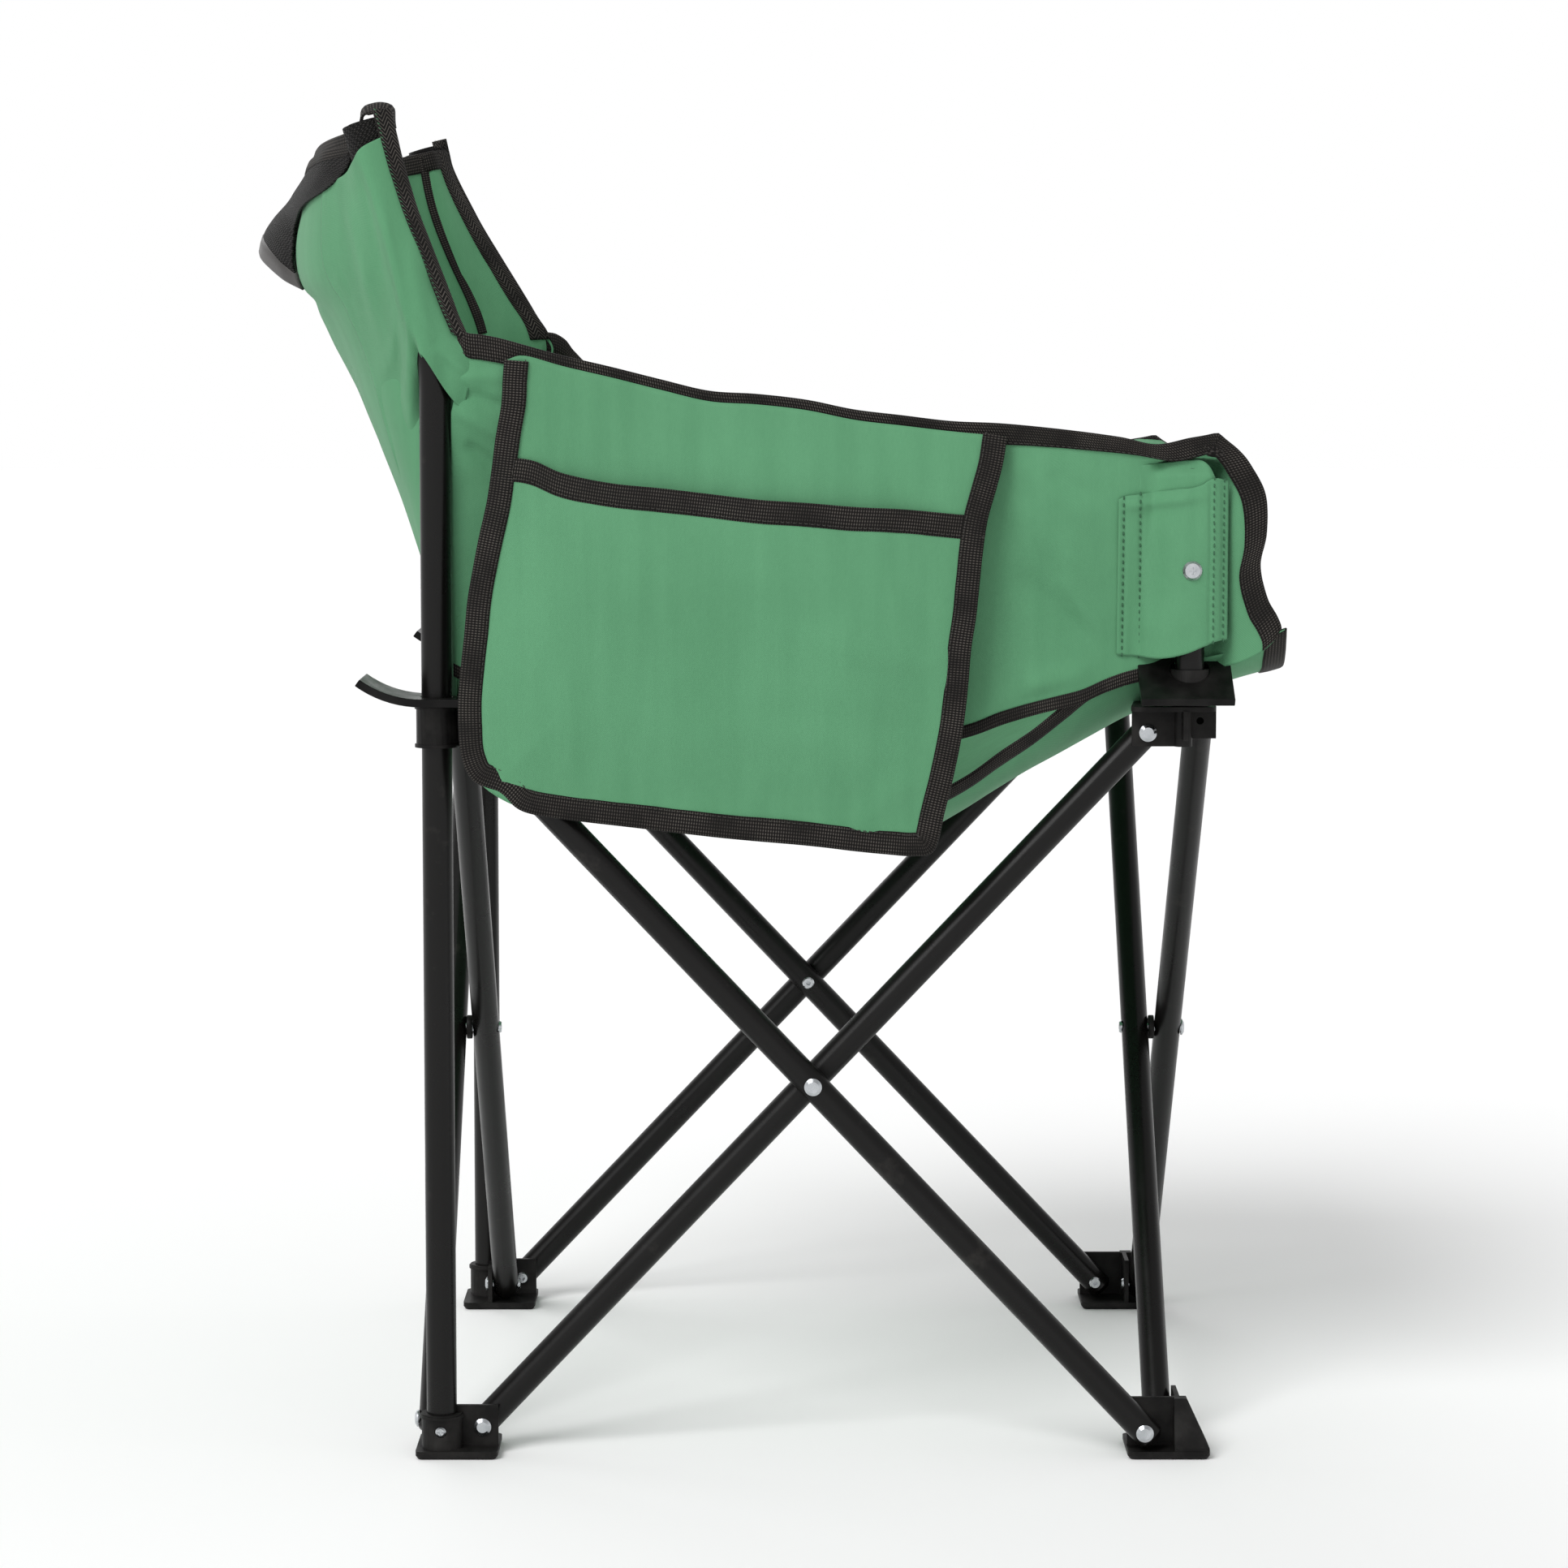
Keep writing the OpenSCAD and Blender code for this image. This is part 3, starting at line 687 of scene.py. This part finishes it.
# Folds of a cloth: start (x, z), end (x, z), width and height, which is negative for a dent.
SIDE_FOLDS = [
    ((-226, 680), (-178, 680), 5, 2.2), ((-228, 674), (-178, 656), 4, -3.0),
    ((-226, 662), (-180, 636), 5, 2.2), ((-218, 640), (-190, 618), 4, -2.6),
    ((-222, 640), (-175, 560), 8, 1.6), ((116, 612), (184, 540), 13, 3.0),
    ((120, 562), (180, 508), 9, -3.0), ((118, 636), (186, 575), 12, 2.2),
    ((125, 486), (184, 498), 8, 2.8), ((100, 462), (165, 488), 7, -2.6),
    ((140, 622), (182, 600), 6, -1.6), ((150, 560), (184, 512), 6, 1.8)
]


def side_grid(side, recess=1.0):
    """The side panel between its four edges."""
    edges = [with_y(drawn(line, side)) for line in (SIDE_LOW, ARM_TOP, SIDE_REAR, ARM_FRONT)]
    grid = patch(*edges, 220, 96)
    grid[..., 1] = side_y(grid[..., 0], grid[..., 2], recess)
    return crease(grid, facing(grid, (0, 1, 0)), SIDE_FOLDS)


# Outlines of the side pocket, as (x, z).
POCKET_REAR = [
    (-193, 424), (-209, 431), (-216, 444), (-218, 462), (-218, 482), (-216, 504), (-214, 522),
    (-212, 542), (-208.5, 562), (-204.5, 582), (-200, 602), (-197, 622), (-194.5, 642), (-191, 662),
    (-190, 678), (-189, 690)
]
POCKET_FRONT = [
    (74, 388), (80, 411), (86, 436), (91, 462), (94, 487), (96, 512), (99, 532), (101, 552),
    (103, 572), (106, 592), (111.6, 612), (115.5, 627), (118, 643)
]
POCKET_LOW = [
    (-193, 424), (-180, 413), (-155, 408), (-105, 402), (-54, 396), (-4, 391.5), (26, 388),
    (46, 386), (62, 385), (74, 388)
]
POCKET_MOUTH = [
    (-196, 629), (-174, 627), (-154, 619), (-124, 613), (-94, 610), (-64, 606.5), (-34, 603),
    (-4, 601), (26, 598.5), (56, 597), (86, 594), (106, 592.5)
]
# y of the pocket's lower part and of its top, how full its outer wall is, and its rough size.
POCKET_Y, POCKET_TOP_Y = 257.0, 247
FULLNESS = 9.0
POCKET_SIZE = 300, 190
FACE_FOLDS = [
    ((-60, 585), (60, 470), 20, 1.8), ((0, 600), (90, 520), 14, -1.5),
    ((-10, 522), (85, 500), 11, 1.7), ((-40, 480), (70, 455), 12, -1.4),
    ((-195, 560), (-120, 500), 16, -1.4), ((20, 396), (72, 440), 11, 1.6),
    ((-150, 600), (-60, 560), 14, 1.0), ((40, 560), (92, 470), 10, 1.2)
]


def pocket_y(z):
    """The pocket hangs outside the arms below and joins the armrest's edge above."""
    return mix(POCKET_Y, POCKET_TOP_Y, ease((z - 560) / 120))


def pocket_lines(lines, lift=0.0):
    return [[(x, pocket_y(z) + lift, z) for x, z in line] for line in lines]


def pocket_wall_grid(side):
    """The pocket's inner wall, up to the armrest."""
    top = [(-189, 690), *[(x, z - 5) for x, z in ARM_TOP if -180 < x < 112], (118, 643)]
    lines = [drawn(line, side) for line in (POCKET_LOW, top, POCKET_REAR, POCKET_FRONT)]
    return ripple(patch(*pocket_lines(lines), 110, 90), 90, 0.9, 3)


def pocket_face_grid(side):
    """The pocket's outer wall, a little fuller than the wall behind it."""
    rear = [p for p in POCKET_REAR if p[1] < 610] + [POCKET_MOUTH[0]]
    front = [p for p in POCKET_FRONT if p[1] < 580] + [POCKET_MOUTH[-1]]
    lines = [drawn(line, side) for line in (POCKET_LOW, POCKET_MOUTH, rear, front)]
    grid = patch(*pocket_lines(lines, 1.4), 130, 100)
    long, high = POCKET_SIZE
    u, v = np.linspace(0, long, 130)[:, None], np.linspace(0, high, 100)[None]
    inset = np.minimum(np.minimum(u, long - u), v)
    grid[..., 1] += FULLNESS * ease((inset - 9) / 60) * (1 - 0.3 * v / high)
    grid = crease(grid, facing(grid, (0, 1, 0)), FACE_FOLDS)
    return ripple(grid, 80, 1.0, 11)


# Columns of the arm sleeve's patch and of the cloth over the post's end: x, and z at the ends.
PATCH_X = [189, 194, 202, 211, 219, 226, 233, 240, 245, 250, 257]
PATCH_LOW = [507, 506.5, 506, 505, 505.5, 507, 509, 512, 514, 516, 517]
PATCH_HIGH = [604, 606, 607, 608.5, 609.5, 610.5, 611, 613, 616, 617, 615]
COVER_X = [202, 208, 214, 220, 227, 234, 240, 245, 249, 253]
COVER_LOW = 596
COVER_TOP = [625, 625.5, 626, 626.5, 627.5, 628, 628, 624, 616, 608]


def over_post(x, fall=0.0):
    """How far out cloth lies where it passes over the arm post."""
    return 247.4 - fall - 0.0125 * max(abs(x - POST) - 4, 0) ** 2.2


SLEEVE_FOLDS = [
    ((188, 599), (250, 607), 3.5, 2.4), ((205, 590), (250, 560), 9, 0.8),
    ((200, 520), (246, 540), 9, 0.8), ((192.5, 490), (192.5, 640), 1.3, -0.8),
    ((203, 490), (203, 640), 1.3, -0.9), ((245.5, 490), (245.5, 650), 1.3, -0.9),
    ((253.5, 490), (253.5, 650), 1.3, -0.8)
]


def sleeve_grid():
    """The patch that holds the arm post against the side."""
    rows = []
    for x, low, high in zip(PATCH_X, PATCH_LOW, PATCH_HIGH):
        levels = np.linspace(low, high, 8)
        rows.append([(x, max(over_post(x), side_y(x, z) + 1.3), z) for z in levels])
    grid = net(rows, 64, 70)
    grid = crease(grid, facing(grid, (0, 1, 0)), SLEEVE_FOLDS)
    return ripple(grid, 40, 0.5, 23)


def cover_grid():
    """The panel's own cloth where it goes on over the end of the arm post."""
    rows = []
    for x, top in zip(COVER_X, COVER_TOP):
        sunk = -0.8 + 1.6 * ease((34 - abs(x - 234)) / 12)
        row = []
        for z in np.linspace(COVER_LOW, top, 12):
            over = over_post(x, 1.6) - 5.2 * ease((z - 618) / 9)
            row.append((x, max(over, side_y(x, z) + sunk), z))
        rows.append(row)
    return net(rows, 60, 40)


# (x, z) along a seat half's side edge, and along the middle of the seat.
SEAT_RIM = [
    (-223.5, 497), (-204, 487), (-170, 474), (-120, 448), (-60, 424), (0, 412), (34, 410),
    (60, 413), (85, 423), (108, 437), (123, 449), (138, 458.5), (152, 469), (164, 481), (180, 491),
    (204, 498), (235, 503), (262, 509), (283, 517), (293, 523)
]
SEAT_MIDDLE = [
    (-229, 497), (-217, 474), (-190, 452), (-140, 418), (-80, 392), (-20, 380), (30, 378),
    (60, 386), (90, 402), (112, 415), (133, 427), (155, 437.5), (178, 449), (204, 463.5),
    (240, 477), (267, 486), (290, 493), (300, 495)
]
SEAT_SHARES = [0, 0.12, 0.24, 0.38, 0.52, 0.66, 0.78, 0.87, 0.93, 0.97, 1]


def seat_grid():
    """One half of the seat, from its side edge to the middle."""
    rims, middles = curve(SEAT_RIM, 24), curve(SEAT_MIDDLE, 24)
    rows = []
    for (rx, rz), (mx, mz) in zip(rims, middles):
        forward = ease((rx + 30) / 130)
        half = mix(225.5, 234, ease((rx - 180) / 90)) - 5 * bell(rx - POST, 26)
        half += 5 * ease((rx - 268) / 20)
        half = mix(220.5, half, ease((rx + 215) / 30))
        power = mix(2.1, 11, forward)
        rows.append([(mix(mx, rx, t ** 2.4), half * t, mix(mz, rz, t ** power))
                     for t in SEAT_SHARES[::-1]])
    grid = net(rows, 150, 90)
    grid[:, -1, 1] = 0
    return grid


# ---- fabric pieces ----
# Widths of the tapes, and how far in from the edge their stitches run.
ARM_TAPE, ARM_STITCHES = 14.2, 12.6
POCKET_TAPE, POCKET_STITCHES = 13.6, 11.9
MOUTH_TAPE, MOUTH_STITCHES = 13.4, 11.6
EDGE_TAPE, EDGE_STITCHES = 11.5, 11.2
LOW_TAPE, TOP_TAPE, INNER_TAPE = 7.5, 12.6, 8.5
RIM_TAPE, HEM_TAPE = 10.5, 14
POUCH_BAND, POUCH_RIM = 11, 7
# x at which the tapes under the front corner plates end, on the side panel and on the seat.
LOW_TAPE_END, RIM_TAPE_END = 214, 212


def mirrored(grid, side):
    return grid * np.array((1, side, 1))


def sided(edge, side):
    return tuple(mirrored(part, side) for part in edge)


def outward(edge, sign=1):
    """Turns the normals of a side's edge so that they point away from the middle."""
    path, inward, normal = edge
    return path, inward, normal * np.where(normal[:, 1:2] * sign < 0, -1, 1)


POCKET_MIDDLE = -50, 0, 520


def pocket_hem(side):
    """The edge round the pocket, from its rear top corner to its front one."""
    line = curve(drawn(POCKET_REAR[::-1][:-1] + POCKET_LOW[:-1] + POCKET_FRONT, side), 400)
    path = np.stack([line[:, 0], pocket_y(line[:, 1]) + 0.8, line[:, 1]], 1)
    ahead = unit(np.gradient(path, axis=0))
    outer = np.broadcast_to((0.0, 1.0, 0.0), path.shape)
    inward = unit(np.cross(ahead, outer))
    turn = np.where(((POCKET_MIDDLE - path) * inward).sum(1, keepdims=True) < 0, -1, 1)
    return joined((path, inward * turn, outer))


def attach(piece):
    """Bakes a side's piece's placing into its mesh."""
    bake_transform(piece)
    return piece


def hang(label, grid, name):
    """A side's cloth, mirrored to its side and baked in place."""
    piece = cloth(f"{label}_{name}", mirrored(grid, SIDES[name]), CANVAS)
    return attach(piece)


def ride(piece, body):
    """Fixes a piece to one body."""
    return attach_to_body(piece, body)


def make_panel(name, side):
    """The side panel, and the tapes and stitches along it."""
    panel = side_grid(side)
    bound = side_grid(side, recess=0.0)
    rim = outward(edge_of(bound, "top", 12))
    front = outward(edge_of(bound, "front", 12))
    front = tuple(part[::-1] for part in front)
    low = outward(edge_of(panel, "bottom", 7))
    low = cut(low, low[0][:, 0] < LOW_TAPE_END)
    green = hang("side_cloth", ripple(panel, 70, 1.2, 5), name)
    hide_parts(f"side_panel_{name}")
    arm_edge = sided(joined(rim, front), side)
    trims = [tape(f"arm_tape_{name}", arm_edge, ARM_TAPE, RIBBED, thick=1.5),
             tape(f"side_low_tape_{name}", sided(low, side), LOW_TAPE, FINE),
             seam(f"arm_stitches_{name}", arm_edge, ARM_STITCHES, THREAD, lift=1.9)]
    return green, trims


def make_pocket(name, side):
    """The pocket's two walls, and the tapes and stitches round it and along its mouth."""
    wall = hang("pocket_wall", pocket_wall_grid(side), name)
    grid = pocket_face_grid(side)
    face = hang("pocket_face", grid, name)
    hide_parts(f"side_pocket_{name}")
    hem = sided(pocket_hem(side), side)
    mouth = sided(outward(edge_of(grid, "top", 13)), side)
    trims = [tape(f"pocket_tape_{name}", hem, POCKET_TAPE, RIBBED, thick=1.9),
             tape(f"pocket_mouth_tape_{name}", mouth, MOUTH_TAPE, RIBBED),
             seam(f"pocket_stitches_{name}", hem, POCKET_STITCHES, THREAD, lift=2.5),
             seam(f"mouth_stitches_{name}", mouth, MOUTH_STITCHES, THREAD, lift=1.5)]
    return wall, face, trims


# Rows of stitches on the arm sleeve: the edge each follows, and how far in.
SLEEVE_STITCHES = [("rear", 3.4), ("rear", 14), ("front", 3.4), ("front", 11.5)]


def make_sleeve(name, side):
    """The patch that holds the arm post, its stitches, and the cloth over the post's end."""
    body = f"arm_sleeve_{name}"
    grid = mirrored(sleeve_grid(), side)
    sleeve = ride(cloth(f"arm_sleeve_cloth_{name}", grid, CANVAS), body)
    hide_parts(f"arm_sleeve_{name}")
    cover = ride(cloth(f"post_cover_{name}", mirrored(cover_grid(), side), CANVAS), body)
    for k, (edge_name, inset) in enumerate(SLEEVE_STITCHES):
        line = outward(edge_of(grid, edge_name, 10), side)
        ride(seam(f"sleeve_stitches_{k}_{name}", line, inset, SHADED_THREAD, lift=0.5,
                  thick=0.5, pitch=4.2, long=2.8), body)
    return sleeve, cover


def make_side(name, side):
    """The side panel, its pocket and the arm sleeve, for one side."""
    green, arm_trims = make_panel(name, side)
    wall, face, pocket_trims = make_pocket(name, side)
    sleeve, cover = make_sleeve(name, side)
    for piece in arm_trims + pocket_trims:
        attach(piece)


BACK_FOLDS = [
    ((-345, 727), (-250, 727), 5, -2.0), ((-322, 800), (-306, 640), 9, 1.8),
    ((-308, 800), (-286, 690), 6, -1.8), ((-292, 790), (-262, 620), 7, 2.0),
    ((-330, 735), (-262, 560), 12, 2.0), ((-300, 700), (-250, 540), 8, -2.0),
    ((-285, 720), (-246, 600), 5, 1.6)
]
WING_FOLDS = [
    ((-290, 800), (-266, 690), 4.5, 1.8), ((-280, 812), (-262, 720), 3.5, -1.6),
    ((-266, 790), (-246, 694), 3, 1.6), ((-251, 770), (-230, 668), 4.5, 1.6),
    ((-240, 750), (-214, 690), 3.5, -1.5), ((-236, 700), (-206, 676), 4, 2.0)
]
# Heights from which the back's free edges and its inner tapes run up.
BOUND_FROM, INNER_FROM = 701, 704
# Where the inner tapes lie, as shares of the trough's width: at their foot and higher up.
INNER_SHARES = 0.458, 0.444
# Each row of the mesh pouch: x and z in the middle, half width and z at its ends.
POUCH_ROWS = [
    (-365, 761, 88, 735), (-362, 772.5, 90, 749), (-355.5, 782, 92, 765), (-346, 792, 97, 777),
    (-338, 799.5, 150, 787), (-332.5, 804.5, 196, 796), (-328.8, 808.5, 213, 808),
    (-327.8, 811, 217, 822)
]
# The hanging loop's path, the direction of its width, and its width.
LOOP_PATH = [
    (-277.5, -232, 821), (-278.5, -232, 834), (-277, -232, 841.5), (-271.5, -232, 844),
    (-265.5, -232, 844.5), (-260, -232, 842), (-258.5, -232, 832)
]
LOOP_ACROSS, LOOP_WIDTH = (0, 0.86, 0.5), 12


def off_back(y, z, lift):
    """(x, y) of a point that stands off the back's rear surface, y away from the middle."""
    share = TUBE_SHARE * math.asin(min(y / INNER_Y, 1)) * 2 / math.pi
    here = np.array(back_point(share, z))
    step = np.array(back_point(share + 0.004, z)) - here
    return here + lift * np.array([-step[1], step[0]]) / np.linalg.norm(step)


def pouch_grid():
    """The mesh pouch, which lies on the back at its ends and stands off it in the middle."""
    rows = []
    for x, z, half, end_z in POUCH_ROWS:
        row = []
        for u in np.linspace(-1, 1, 21):
            level = mix(z, end_z, abs(u) ** 2.2)
            lift = mix(along(BACK_MIDDLE, z) - x, 2.7, abs(u) ** 2.6)
            out_x, out_y = off_back(half * abs(u), level, lift)
            row.append((out_x, math.copysign(out_y, u), level))
        rows.append(row)
    return net(np.swapaxes(np.array(rows), 0, 1), 110, 60)


def settle(piece):
    """Fixes a piece of the back to the uprights, and gives it a mesh of its own."""
    ride(piece, "root")
    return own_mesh(piece)


def above(edge, level):
    """The part of an edge that is above a height."""
    return cut(edge, edge[0][:, 2] > level)


def make_trough(trough):
    """The back's cloth, and the tape along its top."""
    top = edge_of(trough, "top", 12)
    top = cut(top, top[0][:, 1] > -INNER_Y)
    bare = 1 - ease((trough[..., 2:] - 600) / 40) * ease((abs(trough[..., 1:2]) - 110) / 40)
    shape = crease(trough, bare * facing(trough, (-1, 0, 0)), BACK_FOLDS)
    shape = mix(shape, ripple(shape, 95, 1.6, 31, (1, 1, 3.5)), bare)
    green = settle(cloth("back_cloth", shape, CANVAS))
    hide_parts("back_panel")
    return green, settle(tape("back_top_tape", top, TOP_TAPE, FINE, thick=1.2))


def make_wing(name, side):
    """The sleeve over the top of an upright, its cap, and its edge's tape and stitches."""
    grid = wing_grid(side, WING_LOW, WING_HIGH)
    whole = wing_grid(side, WING_LOW, EDGE_HIGH)
    edge = outward(edge_of(whole, "front", 11))
    grid = crease(grid, facing(grid, (0, 1, 0)), WING_FOLDS)
    grid = ripple(grid, 80, 1.2, 41, (1, 1, 4))
    wing = settle(cloth(f"back_wing_{name}", mirrored(grid, side), CANVAS))
    cap_grid = mirrored(wing_grid(side, CAP_LOW, CAP_HIGH, True), side)
    cap = settle(cloth(f"sleeve_cap_{name}", cap_grid, MESH))
    edge = sided(above(edge, BOUND_FROM), side)
    trims = [settle(tape(f"back_edge_tape_{name}", edge, EDGE_TAPE, TWILL, thick=1.5)),
             settle(seam(f"back_edge_stitches_{name}", edge, EDGE_STITCHES, GREEN_THREAD,
                         lift=1.6, pitch=3.0, long=2.2, slant=1.1))]
    return wing, cap, trims


def make_inner_tapes(name, side, trough):
    """The tapes on the trough's face: along its free edge, and up beside the upright."""
    flank = above(edge_of(trough, "rear" if side < 0 else "front", 11), BOUND_FROM)
    low, high = (trough[int(round((0.5 + side * share) * (len(trough) - 1)))]
                 for share in INNER_SHARES)
    column = mix(low, high, ease((low[:, 2:] - INNER_FROM) / 110))
    column = column[column[:, 2] > INNER_FROM]
    facing_in = unit(np.broadcast_to((0.55, -0.83 * side, 0.0), column.shape))
    ahead = unit(np.gradient(column, axis=0))
    line = (column + facing_in, unit(np.cross(ahead, facing_in)), facing_in)
    return [settle(tape(f"back_flank_tape_{name}", flank, EDGE_TAPE, TWILL, thick=1.2)),
            settle(tape(f"back_inner_tape_{name}", line, INNER_TAPE, RIBBED))]


def make_pouch():
    """The mesh pouch with its smooth band below and its tape above."""
    grid = pouch_grid()
    hem = edge_of(grid, "bottom", 10)
    rim = edge_of(grid, "top", 8)
    pouch = settle(cloth("pouch_mesh", grid, MESH, 1.6))
    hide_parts("mesh_pouch")
    trims = [settle(tape("pouch_band", hem, POUCH_BAND, BAND, thick=1.2)),
             settle(tape("pouch_rim_tape", rim, POUCH_RIM, FINE))]
    return pouch, trims


def make_loop():
    """The flat hanging loop on the back's right top corner."""
    path = curve(LOOP_PATH, 60)
    across = unit(np.broadcast_to(LOOP_ACROSS, path.shape))
    ahead = unit(np.gradient(path, axis=0))
    across = unit(across - (across * ahead).sum(1, keepdims=True) * ahead)
    edge = path - across * LOOP_WIDTH / 2, across, unit(np.cross(ahead, across))
    loop = settle(tape("hang_strap", edge, LOOP_WIDTH, RIBBED, thick=0.6, spacing=1.0))
    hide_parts("hang_loop")
    return loop


def make_back():
    """The back's trough, its sleeves, tapes, mesh pouch and hanging loop."""
    trough = back_grid()
    green, top_tape = make_trough(trough)
    tapes, sleeves = [top_tape], []
    for name, side in SIDES.items():
        wing, cap, trims = make_wing(name, side)
        sleeves.append((wing, cap))
        tapes += trims + make_inner_tapes(name, side, trough)
    pouch, pouch_trims = make_pouch()
    loop = make_loop()


def make_seat():
    """The seat's two halves, which meet in the middle."""
    for name, side in SIDES.items():
        grid = seat_grid()
        body = f"seat_half_{name}"
        rim = edge_of(grid, "bottom", 9)
        rim = cut(rim, rim[0][:, 0] < RIM_TAPE_END)
        front = edge_of(grid, "front", 13)
        pieces = [cloth(f"seat_cloth_{name}", mirrored(grid, side), CANVAS)]
        for label, edge, width in (("rim", rim, RIM_TAPE), ("hem", front, HEM_TAPE)):
            pieces.append(tape(f"seat_{label}_tape_{name}", sided(edge, side), width, FINE,
                               thick=1.2))
        for piece, slot in zip(pieces, ("canvas_green", "webbing_black", "webbing_black")):
            ride(piece, body)
            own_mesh(piece)
        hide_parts(f"seat_{name}")


# ---- studio ----
# The white sky: its strength at the horizon and overhead, and the heights it fades between.
HORIZON, OVERHEAD = 1.0, 0.5
FADE_FROM, FADE_TO = 0.12, 0.6
# Each lamp's direction, strength and angle in degrees.
LAMPS = {"key": ((0.45, 0.62, -0.75), 1.9, 30), "back": ((0.3, -0.7, -0.6), 0.5, 40)}
# The floor's half width, and how far it is below the feet.
FLOOR, FLOOR_GAP = 20000, 0.3
# The camera, fitted to the rivets, feet and posts in the photo. Angles are in degrees.
CAMERA_PLACE = (CENTRE_X - 0.0213, -3.1186, 0.7110)
CAMERA_DIP, CAMERA_TURN = 5.64, -0.063
SENSOR, LENS = 36, 106.6


def floor_material():
    p = Paint("studio_floor", Specular_IOR_Level=0.2)
    clouds = p.noise(1.5, 2.0)
    return p.finish(p.blend(clouds, (0.93, 0.93, 0.93, 1), (0.95, 0.95, 0.95, 1)),
                    p.spread(clouds, 0.3, 0.7, 0.85, 0.95))


def make_sky(scene):
    """A white world that is dimmer overhead."""
    world = bpy.data.worlds.new("studio")
    scene.world = world
    world.use_nodes = True
    nodes, links = world.node_tree.nodes, world.node_tree.links
    split = nodes.new("ShaderNodeSeparateXYZ")
    links.new(nodes.new("ShaderNodeTexCoord").outputs["Generated"], split.inputs[0])
    fade = nodes.new("ShaderNodeMapRange")
    links.new(split.outputs[2], fade.inputs[0])
    for key, value in zip(range(1, 5), (FADE_FROM, FADE_TO, HORIZON, OVERHEAD)):
        fade.inputs[key].default_value = value
    links.new(fade.outputs[0], nodes["Background"].inputs["Strength"])
    nodes["Background"].inputs["Color"].default_value = (1, 1, 1, 1)


def make_studio():
    """The floor, the sky and the two lamps."""
    scene = bpy.context.scene
    scene.view_settings.view_transform = "Standard"
    corners = [(x * FLOOR, y * FLOOR, -FLOOR_GAP) for x, y in ((-1, -1), (1, -1), (1, 1), (-1, 1))]
    floor = new_piece("floor", np.array(corners), [[0, 1, 2, 3]], floor_material())
    make_sky(scene)
    for name, (aim, strength, angle) in LAMPS.items():
        data = bpy.data.lights.new(name, "SUN")
        data.energy, data.angle = strength, math.radians(angle)
        lamp = bpy.data.objects.new(name, data)
        lamp.rotation_euler = Vector(aim).to_track_quat("-Z", "Y").to_euler()
        scene.collection.objects.link(lamp)


def make_camera():
    data = bpy.data.cameras.new("camera")
    data.sensor_width, data.lens = SENSOR, LENS
    camera = bpy.data.objects.new("camera", data)
    camera.location = CAMERA_PLACE
    camera.rotation_euler = (math.radians(90 - CAMERA_DIP), 0, math.radians(CAMERA_TURN))
    bpy.context.scene.collection.objects.link(camera)
    bpy.context.scene.camera = camera


make_camera()
make_studio()
finish_nodes()
for side_name, side_sign in SIDES.items():
    make_side(side_name, side_sign)
make_back()
make_seat()
